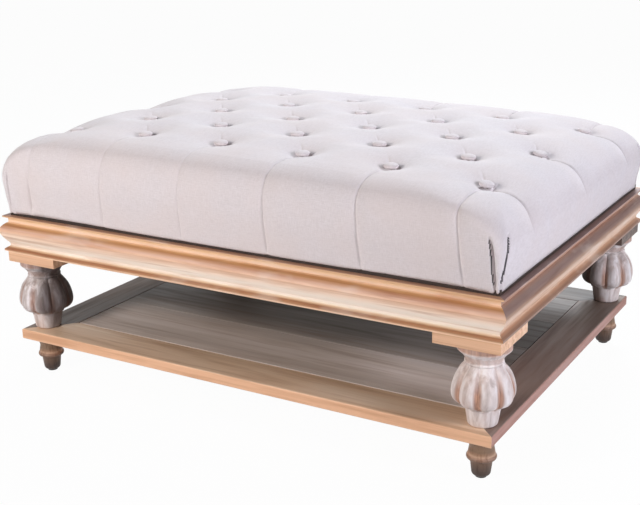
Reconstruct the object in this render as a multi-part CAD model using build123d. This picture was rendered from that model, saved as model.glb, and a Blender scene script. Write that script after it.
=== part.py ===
from build123d import *
import os
from math import atan2, ceil, cos, degrees, hypot, radians, sin

os.makedirs("parts", exist_ok=True)

# Ottoman coffee table. Lengths are in millimetres, X runs along the long side, the front faces -Y
# and the feet stand on Z = 0 with the origin under the middle of the table.

# Overall plan, measured over the thin lip on top of the moulded frame
LIP_LENGTH = 1084.0
LIP_DEPTH = 804.0

# Heights of the stacked parts, from the floor up
GLIDE_HEIGHT = 3.0
FOOT_HEIGHT = 75.0
SHELF_THICKNESS = 22.0
LEG_HEIGHT = 149.0
PAD_THICKNESS = 19.0
RAIL_HEIGHT = 78.0
DECK_THICKNESS = 9.0
CUSHION_HEIGHT = 170.0

# Clearances and cutting overruns
FIT = 0.3
OVERRUN = 2.0

# Moulded rail: how far each step stands from the lip face, and how far below the lip's top it is
RAIL_WIDTH = 36.0
LIP_THICKNESS = 3.0
NECK_BACK = 8.0
NECK_TOP = 6.5
NECK_HEIGHT = 7.5
BELLY_OUT = 8.0
BELLY_DROP = 31.0
BELLY_UPPER_SWELL = 1.6
BELLY_LOWER_SWELL = 1.0
WAIST_BACK = 8.0
WAIST_DROP = 59.0
WAIST_HEIGHT = 5.0
TOE_OUT = 1.0
TOE_DROP = 70.0
TOE_THICKNESS = 4.0
FILLET_BACK = 4.0
FILLET_HEIGHT = 2.5

# Pads under the frame's corners and glued blocks inside them
PAD_SIZE = 121.0
BLOCK_SIZE = 80.0
BLOCK_EDGE = 28.0
BLOCK_HEIGHT = 50.0

# Timbers that cross the frame under the deck
BEARER_WIDTH = 40.0
BEARER_HEIGHT = 50.0
BEARER_SHARE = 0.166

# Shelf: mitred border boards around tongued planks, with battens below
SHELF_INSET = 16.5
BORDER_WIDTH = 84.0
BORDER_ROUND = 3.0
BORDER_CHAMFER = 2.0
PLANK_COUNT = 4
PLANK_CHAMFER = 1.0
TONGUE_LENGTH = 6.0
TONGUE_THICKNESS = 7.0
BATTEN_COUNT = 3
BATTEN_WIDTH = 60.0
BATTEN_THICKNESS = 18.0
BATTEN_PITCH_SHARE = 0.305
BATTEN_SETBACK = 60.0

# Turned and carved legs
LEG_INSET_X = 51.0
LEG_INSET_Y = 52.0
LOBES = 8
LOBE_TURN = 11.0
LOBE_GROOVE_SHARE = 0.88
BULB_RADIUS = 55.5
BULB_FOOT = 33.0
BULB_HEIGHT = 80.0
BULB_HEIGHT_SHARES = (0.0, 0.11, 0.21, 0.34, 0.51, 0.67, 0.84, 1.0)
BULB_RADIUS_SHARES = (0.61, 0.81, 0.955, 1.0, 0.973, 0.905, 0.77, 0.61)
CONE_TOE_RADIUS = 23.0
CONE_ROUND = 5.0
CONE_FOOT_RADIUS = 26.5
CONE_TOP_RADIUS = 31.0
NECK_RADIUS = 31.5
RING_SWELL = 2.2
RING_HEIGHT = 5.0
COLLAR_RADIUS = 46.5
COLLAR_EDGE = 2.0
COLLAR_HEIGHT = 13.0
COLLAR_COVE_SHARE = 0.34

# Turned feet
FOOT_RADIUS = 26.5
FOOT_COLLAR_RADIUS = 30.0
FOOT_COLLAR_HEIGHT = 4.0
FOOT_NECK_RADIUS = 21.5
FOOT_NECK_PLACE = 55.0
FOOT_RING_TOP = 40.0
FOOT_RING_HEIGHT = 8.0
FOOT_TAPER_TOP_RADIUS = 20.0
FOOT_TAPER_FOOT_RADIUS = 17.0
FOOT_TAPER_PLACE = 7.0
FOOT_TOE_RADIUS = 11.0
GLIDE_RADIUS = 10.0

# Threaded rods that clamp foot, shelf, leg, pad and corner block together
ROD_RADIUS = 4.0
ROD_START = 18.0
ROD_SPARE = 13.0
INSERT_RADIUS = 8.0
INSERT_HEIGHT = 18.0
WASHER_RADIUS = 12.0
WASHER_THICKNESS = 2.0
NUT_FLATS = 13.0
NUT_HEIGHT = 7.0

# Screws and dowels
SCREW_RADIUS = 2.2
SCREW_HEAD_RADIUS = 4.2
SCREW_HEAD_HEIGHT = 3.0
BLOCK_SCREW_LENGTH = 52.0
BLOCK_SCREW_PLACE = 62.0
BLOCK_SCREW_DROP = 14.0
PAD_SCREW_LENGTH = 40.0
PAD_SCREW_PLACE = 22.0
DECK_SCREW_LENGTH = 30.0
DECK_SCREW_PITCH = 240.0
CUSHION_SCREW_LENGTH = 20.0
CUSHION_SCREW_X_SHARE = 0.37
CUSHION_SCREW_Y_SHARE = 0.25
BATTEN_SCREW_LENGTH = 32.0
DOWEL_RADIUS = 4.0
DOWEL_LENGTH = 32.0
DOWEL_LOW = 30.0
DOWEL_HIGH = 52.0
BEARER_DOWEL_SPACING = 24.0

# Upholstered cushion: outline, crown, tufting and its layers
CUSHION_INSET = 12.0
CUSHION_BULGE = 9.0
CUSHION_SHOULDER = 60.0
SIDE_BOW = 3.0
RISE_SHARES = (0.0, 0.06, 0.4, 0.66, 0.83, 0.905, 0.96, 1.0)
INSET_SHARES = (0.15, 0.05, 0.0, 0.07, 0.33, 0.77, 2.0, 4.3)
CORNER_SHARES = (0.4, 0.5, 0.75, 0.85, 1.1, 1.4, 1.8, 1.7)
COVER_WALL = 14.0
COVER_TURN_IN = 40.0
FABRIC = 1.5
BOARD_THICKNESS = 12.0
FOAM_TOP_DROP = 40.0
FOAM_ROUND = 55.0
TUFT_MARGIN_X = 86.5
TUFT_MARGIN_Y = 137.0
TUFT_ROWS = 5
TUFTS_IN_LONG_ROW = 6
TUFT_DROP = 11.0
BUTTON_RADIUS = 13.5
BUTTON_HEIGHT = 7.0
BUTTON_RIM = 2.0
FUNNEL_RADIUS = 46.0
FUNNEL_WAIST_RADIUS = 22.0
FUNNEL_HEIGHT = 14.0
FUNNEL_WAIST_HEIGHT = 3.0
PLEAT_DEPTH = 4.0
PLEAT_HALF_WIDTH = 6.0
SIDE_PLEAT_DEPTH = 3.0
SIDE_PLEAT_HALF_WIDTH = 3.0
SLIT_HEIGHT = 58.0
SLIT_SPREAD = 20.0
SLIT_DEPTH = 6.0
SLIT_HALF_WIDTH = 2.5
TWINE_RADIUS = 1.2
ANCHOR_RADIUS = 6.0
ANCHOR_THICKNESS = 1.2
STAPLE_PITCH = 100.0
STAPLE_WIDTH = 10.0
STAPLE_WIRE = 1.0
STAPLE_LEG = 6.0
DECK_INSET = 12.5

# Levels worked out from the stack
SHELF_BOTTOM = GLIDE_HEIGHT + FOOT_HEIGHT
SHELF_TOP = SHELF_BOTTOM + SHELF_THICKNESS
PAD_BOTTOM = SHELF_TOP + LEG_HEIGHT
RAIL_BOTTOM = PAD_BOTTOM + PAD_THICKNESS
RAIL_TOP = RAIL_BOTTOM + RAIL_HEIGHT
DECK_TOP = RAIL_TOP + DECK_THICKNESS
CUSHION_TOP = DECK_TOP + CUSHION_HEIGHT
BOARD_BOTTOM = DECK_TOP + FABRIC + FIT
BOARD_TOP = BOARD_BOTTOM + BOARD_THICKNESS
FOAM_BOTTOM = BOARD_TOP + FIT
FOAM_TOP = CUSHION_TOP - FOAM_TOP_DROP

# Plan positions worked out from the lip
HALF_LENGTH = LIP_LENGTH / 2
HALF_DEPTH = LIP_DEPTH / 2
INNER_X = HALF_LENGTH - RAIL_WIDTH
INNER_Y = HALF_DEPTH - RAIL_WIDTH
LEG_X = HALF_LENGTH - LEG_INSET_X
LEG_Y = HALF_DEPTH - LEG_INSET_Y
SHELF_X = HALF_LENGTH - SHELF_INSET
SHELF_Y = HALF_DEPTH - SHELF_INSET / 2
PAD_X = HALF_LENGTH - FILLET_BACK - PAD_SIZE / 2
PAD_Y = HALF_DEPTH - FILLET_BACK - PAD_SIZE / 2
CUSHION_X = HALF_LENGTH - CUSHION_INSET + CUSHION_BULGE
CUSHION_Y = HALF_DEPTH - CUSHION_INSET + CUSHION_BULGE
TUFT_PITCH_X = 2 * (CUSHION_X - TUFT_MARGIN_X) / (TUFTS_IN_LONG_ROW - 1)
TUFT_PITCH_Y = 2 * (CUSHION_Y - TUFT_MARGIN_Y) / (TUFT_ROWS - 1)
BEARER_PLACE = LIP_LENGTH * BEARER_SHARE
BATTEN_PITCH = LIP_LENGTH * BATTEN_PITCH_SHARE
CUSHION_SCREW_X = LIP_LENGTH * CUSHION_SCREW_X_SHARE
CUSHION_SCREW_Y = LIP_DEPTH * CUSHION_SCREW_Y_SHARE

CORNERS = {"front_left": (-1, -1), "front_right": (1, -1), "back_left": (-1, 1), "back_right": (1, 1)}


def save(node, *solids):
    """Writes one sub-part; several solids share a node only where they are identical fasteners."""
    shape = solids[0] if len(solids) == 1 else Compound(children=list(solids))
    export_step(shape, f"parts/{node}.step")


def cut(body, tools):
    """The body with every tool taken away in one cut."""
    return body - list(tools) if tools else body


def upright(radius, low, high, x=0.0, y=0.0):
    """A cylinder that stands between two levels."""
    return Pos(x, y, low) * Cylinder(radius, high - low, align=(Align.CENTER, Align.CENTER, Align.MIN))


def block(x0, x1, y0, y1, z0, z1):
    """A box between two corners."""
    size = Box(abs(x1 - x0), abs(y1 - y0), abs(z1 - z0), align=(Align.MIN, Align.MIN, Align.MIN))
    return Pos(min(x0, x1), min(y0, y1), min(z0, z1)) * size


def prism(points, low, high):
    """A flat outline in plan, raised between two levels."""
    face = make_face(Polyline(*[(x, y, low) for x, y in points], close=True))
    return extrude(face, amount=high - low, dir=(0, 0, 1))


def mitred(section, half_length, half_depth, width, low, high):
    """The section run along X on the front side and cut at 45 degrees where the corners meet."""
    run = extrude(section, amount=half_length, dir=(1, 0, 0), both=True)
    inner = half_length - width
    plan = [(-half_length, -half_depth), (half_length, -half_depth),
            (inner, width - half_depth), (-inner, width - half_depth)]
    return run & prism(plan, low, high)


def countersunk(length, grow=0.0):
    """A wood screw whose head is flush with Z = 0 and whose shank points down."""
    head = Cone(SCREW_RADIUS + grow, SCREW_HEAD_RADIUS + grow, SCREW_HEAD_HEIGHT,
                align=(Align.CENTER, Align.CENTER, Align.MAX))
    return head + upright(SCREW_RADIUS + grow, -length - grow, 0)


# Moulded frame


def rail_section(setback):
    """The moulding's outline at X = 0 with its lip face at Y = -setback."""

    def at(out, drop):
        return (0, -(setback + out), RAIL_TOP - drop)

    neck_foot = NECK_TOP + NECK_HEIGHT
    waist_foot = WAIST_DROP + WAIST_HEIGHT
    fillet_top = RAIL_HEIGHT - FILLET_HEIGHT
    upper = ((BELLY_OUT - NECK_BACK) / 2 + BELLY_UPPER_SWELL,
             (neck_foot + BELLY_DROP) / 2 - BELLY_UPPER_SWELL)
    lower = ((BELLY_OUT - WAIST_BACK) / 2 + BELLY_LOWER_SWELL,
             (BELLY_DROP + WAIST_DROP) / 2 + BELLY_LOWER_SWELL)
    return make_face([
        Line(at(-RAIL_WIDTH, 0), at(0, 0)),
        Line(at(0, 0), at(0, LIP_THICKNESS)),
        Line(at(0, LIP_THICKNESS), at(-NECK_BACK, NECK_TOP)),
        Line(at(-NECK_BACK, NECK_TOP), at(-NECK_BACK, neck_foot)),
        ThreePointArc(at(-NECK_BACK, neck_foot), at(*upper), at(BELLY_OUT, BELLY_DROP)),
        ThreePointArc(at(BELLY_OUT, BELLY_DROP), at(*lower), at(-WAIST_BACK, WAIST_DROP)),
        Line(at(-WAIST_BACK, WAIST_DROP), at(-WAIST_BACK, waist_foot)),
        Line(at(-WAIST_BACK, waist_foot), at(TOE_OUT, TOE_DROP)),
        Line(at(TOE_OUT, TOE_DROP), at(TOE_OUT, TOE_DROP + TOE_THICKNESS)),
        Line(at(TOE_OUT, TOE_DROP + TOE_THICKNESS), at(-FILLET_BACK, fillet_top)),
        Line(at(-FILLET_BACK, fillet_top), at(-FILLET_BACK, RAIL_HEIGHT)),
        Line(at(-FILLET_BACK, RAIL_HEIGHT), at(-RAIL_WIDTH, RAIL_HEIGHT)),
        Line(at(-RAIL_WIDTH, RAIL_HEIGHT), at(-RAIL_WIDTH, 0)),
    ])


def mitre_dowels(grow=0.0):
    """Two dowels square across each mitre of the frame."""
    dowels = []
    for sx, sy in CORNERS.values():
        x, y = sx * (HALF_LENGTH - RAIL_WIDTH / 2), sy * (HALF_DEPTH - RAIL_WIDTH / 2)
        for level in (DOWEL_LOW, DOWEL_HIGH):
            rod = Cylinder(DOWEL_RADIUS + grow, DOWEL_LENGTH + 2 * grow)
            turn = Rot(0, 0, 45 if sx != sy else -45) * Rot(0, 90, 0)
            dowels.append(Pos(x, y, RAIL_BOTTOM + level) * turn * rod)
    return dowels


def rail(half_run, setback):
    """The front rail of a frame whose lip reaches half_run along X and setback along -Y."""
    section = rail_section(setback)
    return mitred(section, half_run + BELLY_OUT, setback + BELLY_OUT, RAIL_WIDTH + BELLY_OUT,
                  RAIL_BOTTOM, RAIL_TOP)


def make_frame():
    long_rail = rail(HALF_LENGTH, HALF_DEPTH)
    short_rail = rail(HALF_DEPTH, HALF_LENGTH)
    holes = (mitre_dowels(FIT) + block_screws(FIT) + pad_screws(FIT) + bearer_dowels(FIT)
             + deck_screws(FIT))
    save("front_rail", cut(long_rail, holes))
    save("back_rail", cut(Rot(0, 0, 180) * long_rail, holes))
    save("right_rail", cut(Rot(0, 0, 90) * short_rail, holes))
    save("left_rail", cut(Rot(0, 0, -90) * short_rail, holes))
    save("frame_mitre_dowels", *mitre_dowels())


# Corner pads, glued corner blocks and their screws


def block_screws(grow=0.0):
    """Two screws from each corner block into each of its rails."""
    screws = []
    level = RAIL_BOTTOM + BLOCK_HEIGHT / 2
    seat = BLOCK_SIZE + BLOCK_EDGE - BLOCK_SCREW_PLACE - BLOCK_SCREW_DROP
    for sx, sy in CORNERS.values():
        near_x, near_y = sx * (INNER_X - seat), sy * (INNER_Y - seat)
        far_x, far_y = sx * (INNER_X - BLOCK_SCREW_PLACE), sy * (INNER_Y - BLOCK_SCREW_PLACE)
        for side in (-1, 1):
            z = level + side * BLOCK_SCREW_DROP
            along_x = Pos(near_x, far_y, z) * Rot(0, -90 * sx, 0)
            along_y = Pos(far_x, near_y, z) * Rot(90 * sy, 0, 0)
            screws += [along_x * countersunk(BLOCK_SCREW_LENGTH, grow),
                       along_y * countersunk(BLOCK_SCREW_LENGTH, grow)]
    return screws


def screw_wells():
    """Counterbores that let the block screws' heads sink behind the block's slanted face."""
    wells = []
    level = RAIL_BOTTOM + BLOCK_HEIGHT / 2
    seat = BLOCK_SIZE + BLOCK_EDGE - BLOCK_SCREW_PLACE - BLOCK_SCREW_DROP
    well = upright(SCREW_HEAD_RADIUS + FIT, 0, BLOCK_SIZE)
    for sx, sy in CORNERS.values():
        near_x, near_y = sx * (INNER_X - seat), sy * (INNER_Y - seat)
        far_x, far_y = sx * (INNER_X - BLOCK_SCREW_PLACE), sy * (INNER_Y - BLOCK_SCREW_PLACE)
        for side in (-1, 1):
            z = level + side * BLOCK_SCREW_DROP
            wells += [Pos(near_x, far_y, z) * Rot(0, -90 * sx, 0) * well,
                      Pos(far_x, near_y, z) * Rot(90 * sy, 0, 0) * well]
    return wells


def pad_screws(grow=0.0):
    """Two screws up through each pad into the rails over it."""
    screws = []
    for sx, sy in CORNERS.values():
        far_x = sx * (PAD_X - PAD_SIZE / 2 + PAD_SCREW_PLACE)
        far_y = sy * (PAD_Y - PAD_SIZE / 2 + PAD_SCREW_PLACE)
        near_x, near_y = sx * (HALF_LENGTH - RAIL_WIDTH / 2), sy * (HALF_DEPTH - RAIL_WIDTH / 2)
        for x, y in ((far_x, near_y), (near_x, far_y)):
            screws.append(Pos(x, y, PAD_BOTTOM) * Rot(180, 0, 0) * countersunk(PAD_SCREW_LENGTH, grow))
    return screws


def corner_block(sx, sy):
    """A block with its inner corner cut off slantwise."""
    shape = [(0, 0), (BLOCK_SIZE, 0), (BLOCK_SIZE, BLOCK_EDGE), (BLOCK_EDGE, BLOCK_SIZE), (0, BLOCK_SIZE)]
    plan = [(sx * (INNER_X - a), sy * (INNER_Y - b)) for a, b in shape]
    return prism(plan, RAIL_BOTTOM, RAIL_BOTTOM + BLOCK_HEIGHT)


def make_corners():
    rods = tie_rods(FIT)
    screws, wells = block_screws(FIT), screw_wells()
    for name, (sx, sy) in CORNERS.items():
        half = PAD_SIZE / 2
        pad = block(sx * PAD_X - half, sx * PAD_X + half, sy * PAD_Y - half, sy * PAD_Y + half,
                    PAD_BOTTOM, RAIL_BOTTOM)
        save(f"corner_pad_{name}", cut(pad, rods + pad_screws(FIT)))
        save(f"corner_block_{name}", cut(corner_block(sx, sy), rods + screws + wells))
    save("corner_block_screws", *block_screws())
    save("corner_pad_screws", *pad_screws())


# Bearers and deck


def bearer_dowels(grow=0.0):
    """Two dowels in each end of each bearer."""
    dowels = []
    middle = RAIL_TOP - BEARER_HEIGHT / 2
    for x in (-BEARER_PLACE, BEARER_PLACE):
        for y in (-INNER_Y, INNER_Y):
            for z in (middle - BEARER_DOWEL_SPACING / 2, middle + BEARER_DOWEL_SPACING / 2):
                rod = Cylinder(DOWEL_RADIUS + grow, DOWEL_LENGTH + 2 * grow)
                dowels.append(Pos(x, y, z) * Rot(90, 0, 0) * rod)
    return dowels


def spread(half_run, pitch):
    """Even places along a side, as near to the pitch as fits."""
    count = max(2, ceil(2 * half_run / pitch))
    return [-half_run + (i + 0.5) * 2 * half_run / count for i in range(count)]


def deck_screws(grow=0.0):
    """Screws down through the deck's edge into the rails."""
    screws = []
    x_line = (INNER_X + HALF_LENGTH - DECK_INSET) / 2
    y_line = (INNER_Y + HALF_DEPTH - DECK_INSET) / 2
    places = [(x, side * y_line) for x in spread(INNER_X, DECK_SCREW_PITCH) for side in (-1, 1)]
    places += [(side * x_line, y) for y in spread(INNER_Y, DECK_SCREW_PITCH) for side in (-1, 1)]
    for x, y in places:
        screws.append(Pos(x, y, DECK_TOP) * countersunk(DECK_SCREW_LENGTH, grow))
    return screws


def cushion_screws(grow=0.0):
    """Screws up through the deck that hold the cushion's board."""
    screws = []
    for x in (-CUSHION_SCREW_X, 0, CUSHION_SCREW_X):
        for y in (-CUSHION_SCREW_Y, CUSHION_SCREW_Y):
            screws.append(Pos(x, y, RAIL_TOP) * Rot(180, 0, 0) * countersunk(CUSHION_SCREW_LENGTH, grow))
    return screws


def make_deck():
    for name, x in (("left", -BEARER_PLACE), ("right", BEARER_PLACE)):
        bearer = block(x - BEARER_WIDTH / 2, x + BEARER_WIDTH / 2, -INNER_Y, INNER_Y,
                       RAIL_TOP - BEARER_HEIGHT, RAIL_TOP)
        save(f"deck_bearer_{name}", cut(bearer, bearer_dowels(FIT)))
    half_x, half_y = HALF_LENGTH - DECK_INSET, HALF_DEPTH - DECK_INSET
    deck = block(-half_x, half_x, -half_y, half_y, RAIL_TOP, DECK_TOP)
    save("deck_board", cut(deck, deck_screws(FIT) + cushion_screws(FIT)))
    save("bearer_dowels", *bearer_dowels())
    save("deck_screws", *deck_screws())
    save("cushion_screws", *cushion_screws())


# Shelf


def border_section(setback):
    """Section of a border board at X = 0: rounded outer edge, chamfered and grooved inner edge."""

    def at(inward, level):
        return (0, -(setback - inward), SHELF_BOTTOM + level)

    r, t, w = BORDER_ROUND, SHELF_THICKNESS, BORDER_WIDTH
    bend = r * (1 - sin(radians(45)))
    low, high = (t - TONGUE_THICKNESS) / 2 - FIT, (t + TONGUE_THICKNESS) / 2 + FIT
    groove = w - TONGUE_LENGTH - FIT
    return make_face([
        Line(at(r, 0), at(w, 0)),
        Line(at(w, 0), at(w, low)),
        Line(at(w, low), at(groove, low)),
        Line(at(groove, low), at(groove, high)),
        Line(at(groove, high), at(w, high)),
        Line(at(w, high), at(w, t - BORDER_CHAMFER)),
        Line(at(w, t - BORDER_CHAMFER), at(w - BORDER_CHAMFER, t)),
        Line(at(w - BORDER_CHAMFER, t), at(r, t)),
        ThreePointArc(at(r, t), at(bend, t - bend), at(0, t - r)),
        Line(at(0, t - r), at(0, r)),
        ThreePointArc(at(0, r), at(bend, bend), at(r, 0)),
    ])


def border(half_run, setback):
    return mitred(border_section(setback), half_run, setback, BORDER_WIDTH, SHELF_BOTTOM, SHELF_TOP)


def plank(low_y, high_y, tongue_side):
    """One board with tongues into the end borders, a tongue on one long side and a groove on the other."""
    half = SHELF_X - BORDER_WIDTH
    c = PLANK_CHAMFER
    body = block(-half, half, low_y, high_y, SHELF_BOTTOM, SHELF_TOP)
    body = chamfer(body.edges().filter_by(Axis.X).group_by(Axis.Z)[-1], c)
    middle = (SHELF_BOTTOM + SHELF_TOP) / 2
    low, high = middle - TONGUE_THICKNESS / 2, middle + TONGUE_THICKNESS / 2
    ends = block(-half - TONGUE_LENGTH, half + TONGUE_LENGTH, low_y + c, high_y - c, low, high)
    edge = low_y - TONGUE_LENGTH if tongue_side else low_y
    body = body + ends + block(-half, half, edge, high_y - c, low, high)
    groove = block(-half - OVERRUN, half + OVERRUN, high_y - TONGUE_LENGTH - FIT, high_y + OVERRUN,
                   low - FIT, high + FIT)
    return body - groove


def last_plank(low_y, high_y):
    """The board at the back, with a tongue on both long sides."""
    body = plank(low_y, high_y, True)
    half = SHELF_X - BORDER_WIDTH
    middle = (SHELF_BOTTOM + SHELF_TOP) / 2
    low, high = middle - TONGUE_THICKNESS / 2, middle + TONGUE_THICKNESS / 2
    fill = block(-half, half, high_y - TONGUE_LENGTH - FIT, high_y + TONGUE_LENGTH, low, high)
    sides = block(-half, half, high_y - TONGUE_LENGTH - FIT, high_y, low - FIT, high + FIT)
    return body + sides + fill


def batten_places():
    middle = (BATTEN_COUNT - 1) / 2
    return [(i - middle) * BATTEN_PITCH for i in range(BATTEN_COUNT)]


def batten_screws(grow=0.0):
    """One screw up through each batten into each plank and each long border."""
    inner = SHELF_Y - BORDER_WIDTH
    width = 2 * inner / PLANK_COUNT
    rows = [-inner + (i + 0.5) * width for i in range(PLANK_COUNT)]
    rim = (SHELF_Y - BATTEN_SETBACK + inner) / 2
    screws = []
    for x in batten_places():
        for y in [-rim] + rows + [rim]:
            place = Pos(x, y, SHELF_BOTTOM - BATTEN_THICKNESS) * Rot(180, 0, 0)
            screws.append(place * countersunk(BATTEN_SCREW_LENGTH, grow))
    return screws


def shelf_dowels(grow=0.0):
    """A dowel square across each mitre of the shelf's border."""
    dowels = []
    for sx, sy in CORNERS.values():
        x, y = sx * (SHELF_X - BORDER_WIDTH * 3 / 4), sy * (SHELF_Y - BORDER_WIDTH * 3 / 4)
        rod = Cylinder(DOWEL_RADIUS + grow, DOWEL_LENGTH + 2 * grow)
        turn = Rot(0, 0, 45 if sx != sy else -45) * Rot(0, 90, 0)
        dowels.append(Pos(x, y, (SHELF_BOTTOM + SHELF_TOP) / 2) * turn * rod)
    return dowels


def make_shelf():
    long_board = border(SHELF_X, SHELF_Y)
    short_board = border(SHELF_Y, SHELF_X)
    screws = batten_screws(FIT)
    holes = tie_rods(FIT) + shelf_dowels(FIT) + foot_inserts(FIT)
    save("shelf_border_front", cut(long_board, holes + screws))
    save("shelf_border_back", cut(Rot(0, 0, 180) * long_board, holes + screws))
    save("shelf_border_right", cut(Rot(0, 0, 90) * short_board, holes))
    save("shelf_border_left", cut(Rot(0, 0, -90) * short_board, holes))
    inner = SHELF_Y - BORDER_WIDTH
    width = 2 * inner / PLANK_COUNT
    for i in range(PLANK_COUNT):
        low = -inner + i * width
        board = plank(low, low + width, True) if i < PLANK_COUNT - 1 else last_plank(low, low + width)
        save(f"shelf_plank_{i + 1}", cut(board, screws))
    reach = SHELF_Y - BATTEN_SETBACK
    for i, x in enumerate(batten_places()):
        batten = block(x - BATTEN_WIDTH / 2, x + BATTEN_WIDTH / 2, -reach, reach,
                       SHELF_BOTTOM - BATTEN_THICKNESS, SHELF_BOTTOM)
        save(f"shelf_batten_{i + 1}", cut(batten, screws))
    save("batten_screws", *batten_screws())
    save("shelf_mitre_dowels", *shelf_dowels())


# Legs, feet and the rods through them


def at_legs(solid):
    return [Pos(sx * LEG_X, sy * LEG_Y, 0) * solid for sx, sy in CORNERS.values()]


def tie_rods(grow=0.0):
    top = RAIL_BOTTOM + BLOCK_HEIGHT + ROD_SPARE
    return at_legs(upright(ROD_RADIUS + grow, ROD_START - grow, top))


def foot_inserts(grow=0.0):
    """Threaded bushes in the tops of the feet."""
    bush = upright(INSERT_RADIUS + grow, SHELF_BOTTOM - INSERT_HEIGHT - grow, SHELF_BOTTOM)
    return at_legs(bush)


def lobed_face(radius, level):
    """A ring of arcs that bulge between grooves."""
    step = radians(360 / LOBES)
    start = radians(LOBE_TURN - 90)

    def at(r, angle):
        return (r * cos(angle), r * sin(angle), level)

    groove = radius * LOBE_GROOVE_SHARE
    return make_face([
        ThreePointArc(at(groove, start + i * step), at(radius, start + (i + 0.5) * step),
                      at(groove, start + (i + 1) * step))
        for i in range(LOBES)
    ])


def leg_core():
    """The turned part of the leg: cone, core, ring, cove and collar."""
    bulb_top = BULB_FOOT + BULB_HEIGHT
    ring_top = bulb_top + RING_HEIGHT
    collar = LEG_HEIGHT - COLLAR_HEIGHT
    bend = CONE_ROUND * (1 - sin(radians(45)))
    edge = COLLAR_RADIUS - COLLAR_EDGE
    cove = (NECK_RADIUS + (edge - NECK_RADIUS) * COLLAR_COVE_SHARE, (ring_top + collar) / 2)

    def at(r, z):
        return (r, 0, SHELF_TOP + z)

    return revolve(make_face([
        Line(at(0, 0), at(CONE_FOOT_RADIUS - CONE_ROUND, 0)),
        ThreePointArc(at(CONE_FOOT_RADIUS - CONE_ROUND, 0), at(CONE_FOOT_RADIUS - bend, bend),
                      at(CONE_FOOT_RADIUS, CONE_ROUND)),
        Line(at(CONE_FOOT_RADIUS, CONE_ROUND), at(CONE_TOP_RADIUS, BULB_FOOT)),
        Line(at(CONE_TOP_RADIUS, BULB_FOOT), at(CONE_TOP_RADIUS, bulb_top)),
        Line(at(CONE_TOP_RADIUS, bulb_top), at(NECK_RADIUS, bulb_top)),
        ThreePointArc(at(NECK_RADIUS, bulb_top), at(NECK_RADIUS + RING_SWELL, bulb_top + RING_HEIGHT / 2),
                      at(NECK_RADIUS, ring_top)),
        ThreePointArc(at(NECK_RADIUS, ring_top), at(*cove), at(edge, collar)),
        Line(at(edge, collar), at(COLLAR_RADIUS, collar + COLLAR_EDGE)),
        Line(at(COLLAR_RADIUS, collar + COLLAR_EDGE), at(COLLAR_RADIUS, LEG_HEIGHT)),
        Line(at(COLLAR_RADIUS, LEG_HEIGHT), at(0, LEG_HEIGHT)),
        Line(at(0, LEG_HEIGHT), at(0, 0)),
    ]), axis=Axis.Z)


def leg():
    """The turned core with its carved, lobed bulb and the bore for the rod."""
    sections = [lobed_face(r * BULB_RADIUS, SHELF_TOP + BULB_FOOT + h * BULB_HEIGHT)
                for h, r in zip(BULB_HEIGHT_SHARES, BULB_RADIUS_SHARES)]
    body = leg_core() + loft(sections)
    return body - upright(ROD_RADIUS + FIT, SHELF_TOP - OVERRUN, PAD_BOTTOM + OVERRUN)


def foot():
    """A short turned foot with a flared top, a ring and a tapered toe."""
    ring_foot = FOOT_RING_TOP - FOOT_RING_HEIGHT
    collar = FOOT_HEIGHT - FOOT_COLLAR_HEIGHT
    cove = ((FOOT_NECK_RADIUS + FOOT_COLLAR_RADIUS) / 2 - RING_SWELL, (FOOT_NECK_PLACE + collar) / 2)

    def at(r, z):
        return (r, 0, GLIDE_HEIGHT + z)

    body = revolve(make_face([
        Line(at(0, 0), at(FOOT_TOE_RADIUS, 0)),
        ThreePointArc(at(FOOT_TOE_RADIUS, 0),
                      at((FOOT_TOE_RADIUS + FOOT_TAPER_FOOT_RADIUS + RING_SWELL) / 2, FOOT_TAPER_PLACE / 3),
                      at(FOOT_TAPER_FOOT_RADIUS, FOOT_TAPER_PLACE)),
        Line(at(FOOT_TAPER_FOOT_RADIUS, FOOT_TAPER_PLACE), at(FOOT_TAPER_TOP_RADIUS, ring_foot)),
        Line(at(FOOT_TAPER_TOP_RADIUS, ring_foot), at(FOOT_RADIUS - RING_SWELL, ring_foot)),
        ThreePointArc(at(FOOT_RADIUS - RING_SWELL, ring_foot),
                      at(FOOT_RADIUS, ring_foot + FOOT_RING_HEIGHT / 2),
                      at(FOOT_RADIUS - RING_SWELL, FOOT_RING_TOP)),
        Line(at(FOOT_RADIUS - RING_SWELL, FOOT_RING_TOP), at(FOOT_NECK_RADIUS, FOOT_NECK_PLACE)),
        ThreePointArc(at(FOOT_NECK_RADIUS, FOOT_NECK_PLACE), at(*cove), at(FOOT_COLLAR_RADIUS, collar)),
        Line(at(FOOT_COLLAR_RADIUS, collar), at(FOOT_COLLAR_RADIUS, FOOT_HEIGHT)),
        Line(at(FOOT_COLLAR_RADIUS, FOOT_HEIGHT), at(0, FOOT_HEIGHT)),
        Line(at(0, FOOT_HEIGHT), at(0, 0)),
    ]), axis=Axis.Z)
    bore = upright(ROD_RADIUS + FIT, ROD_START - FIT, SHELF_BOTTOM + OVERRUN)
    socket = upright(INSERT_RADIUS + FIT, SHELF_BOTTOM - INSERT_HEIGHT - FIT, SHELF_BOTTOM + OVERRUN)
    return body - bore - socket


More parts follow.
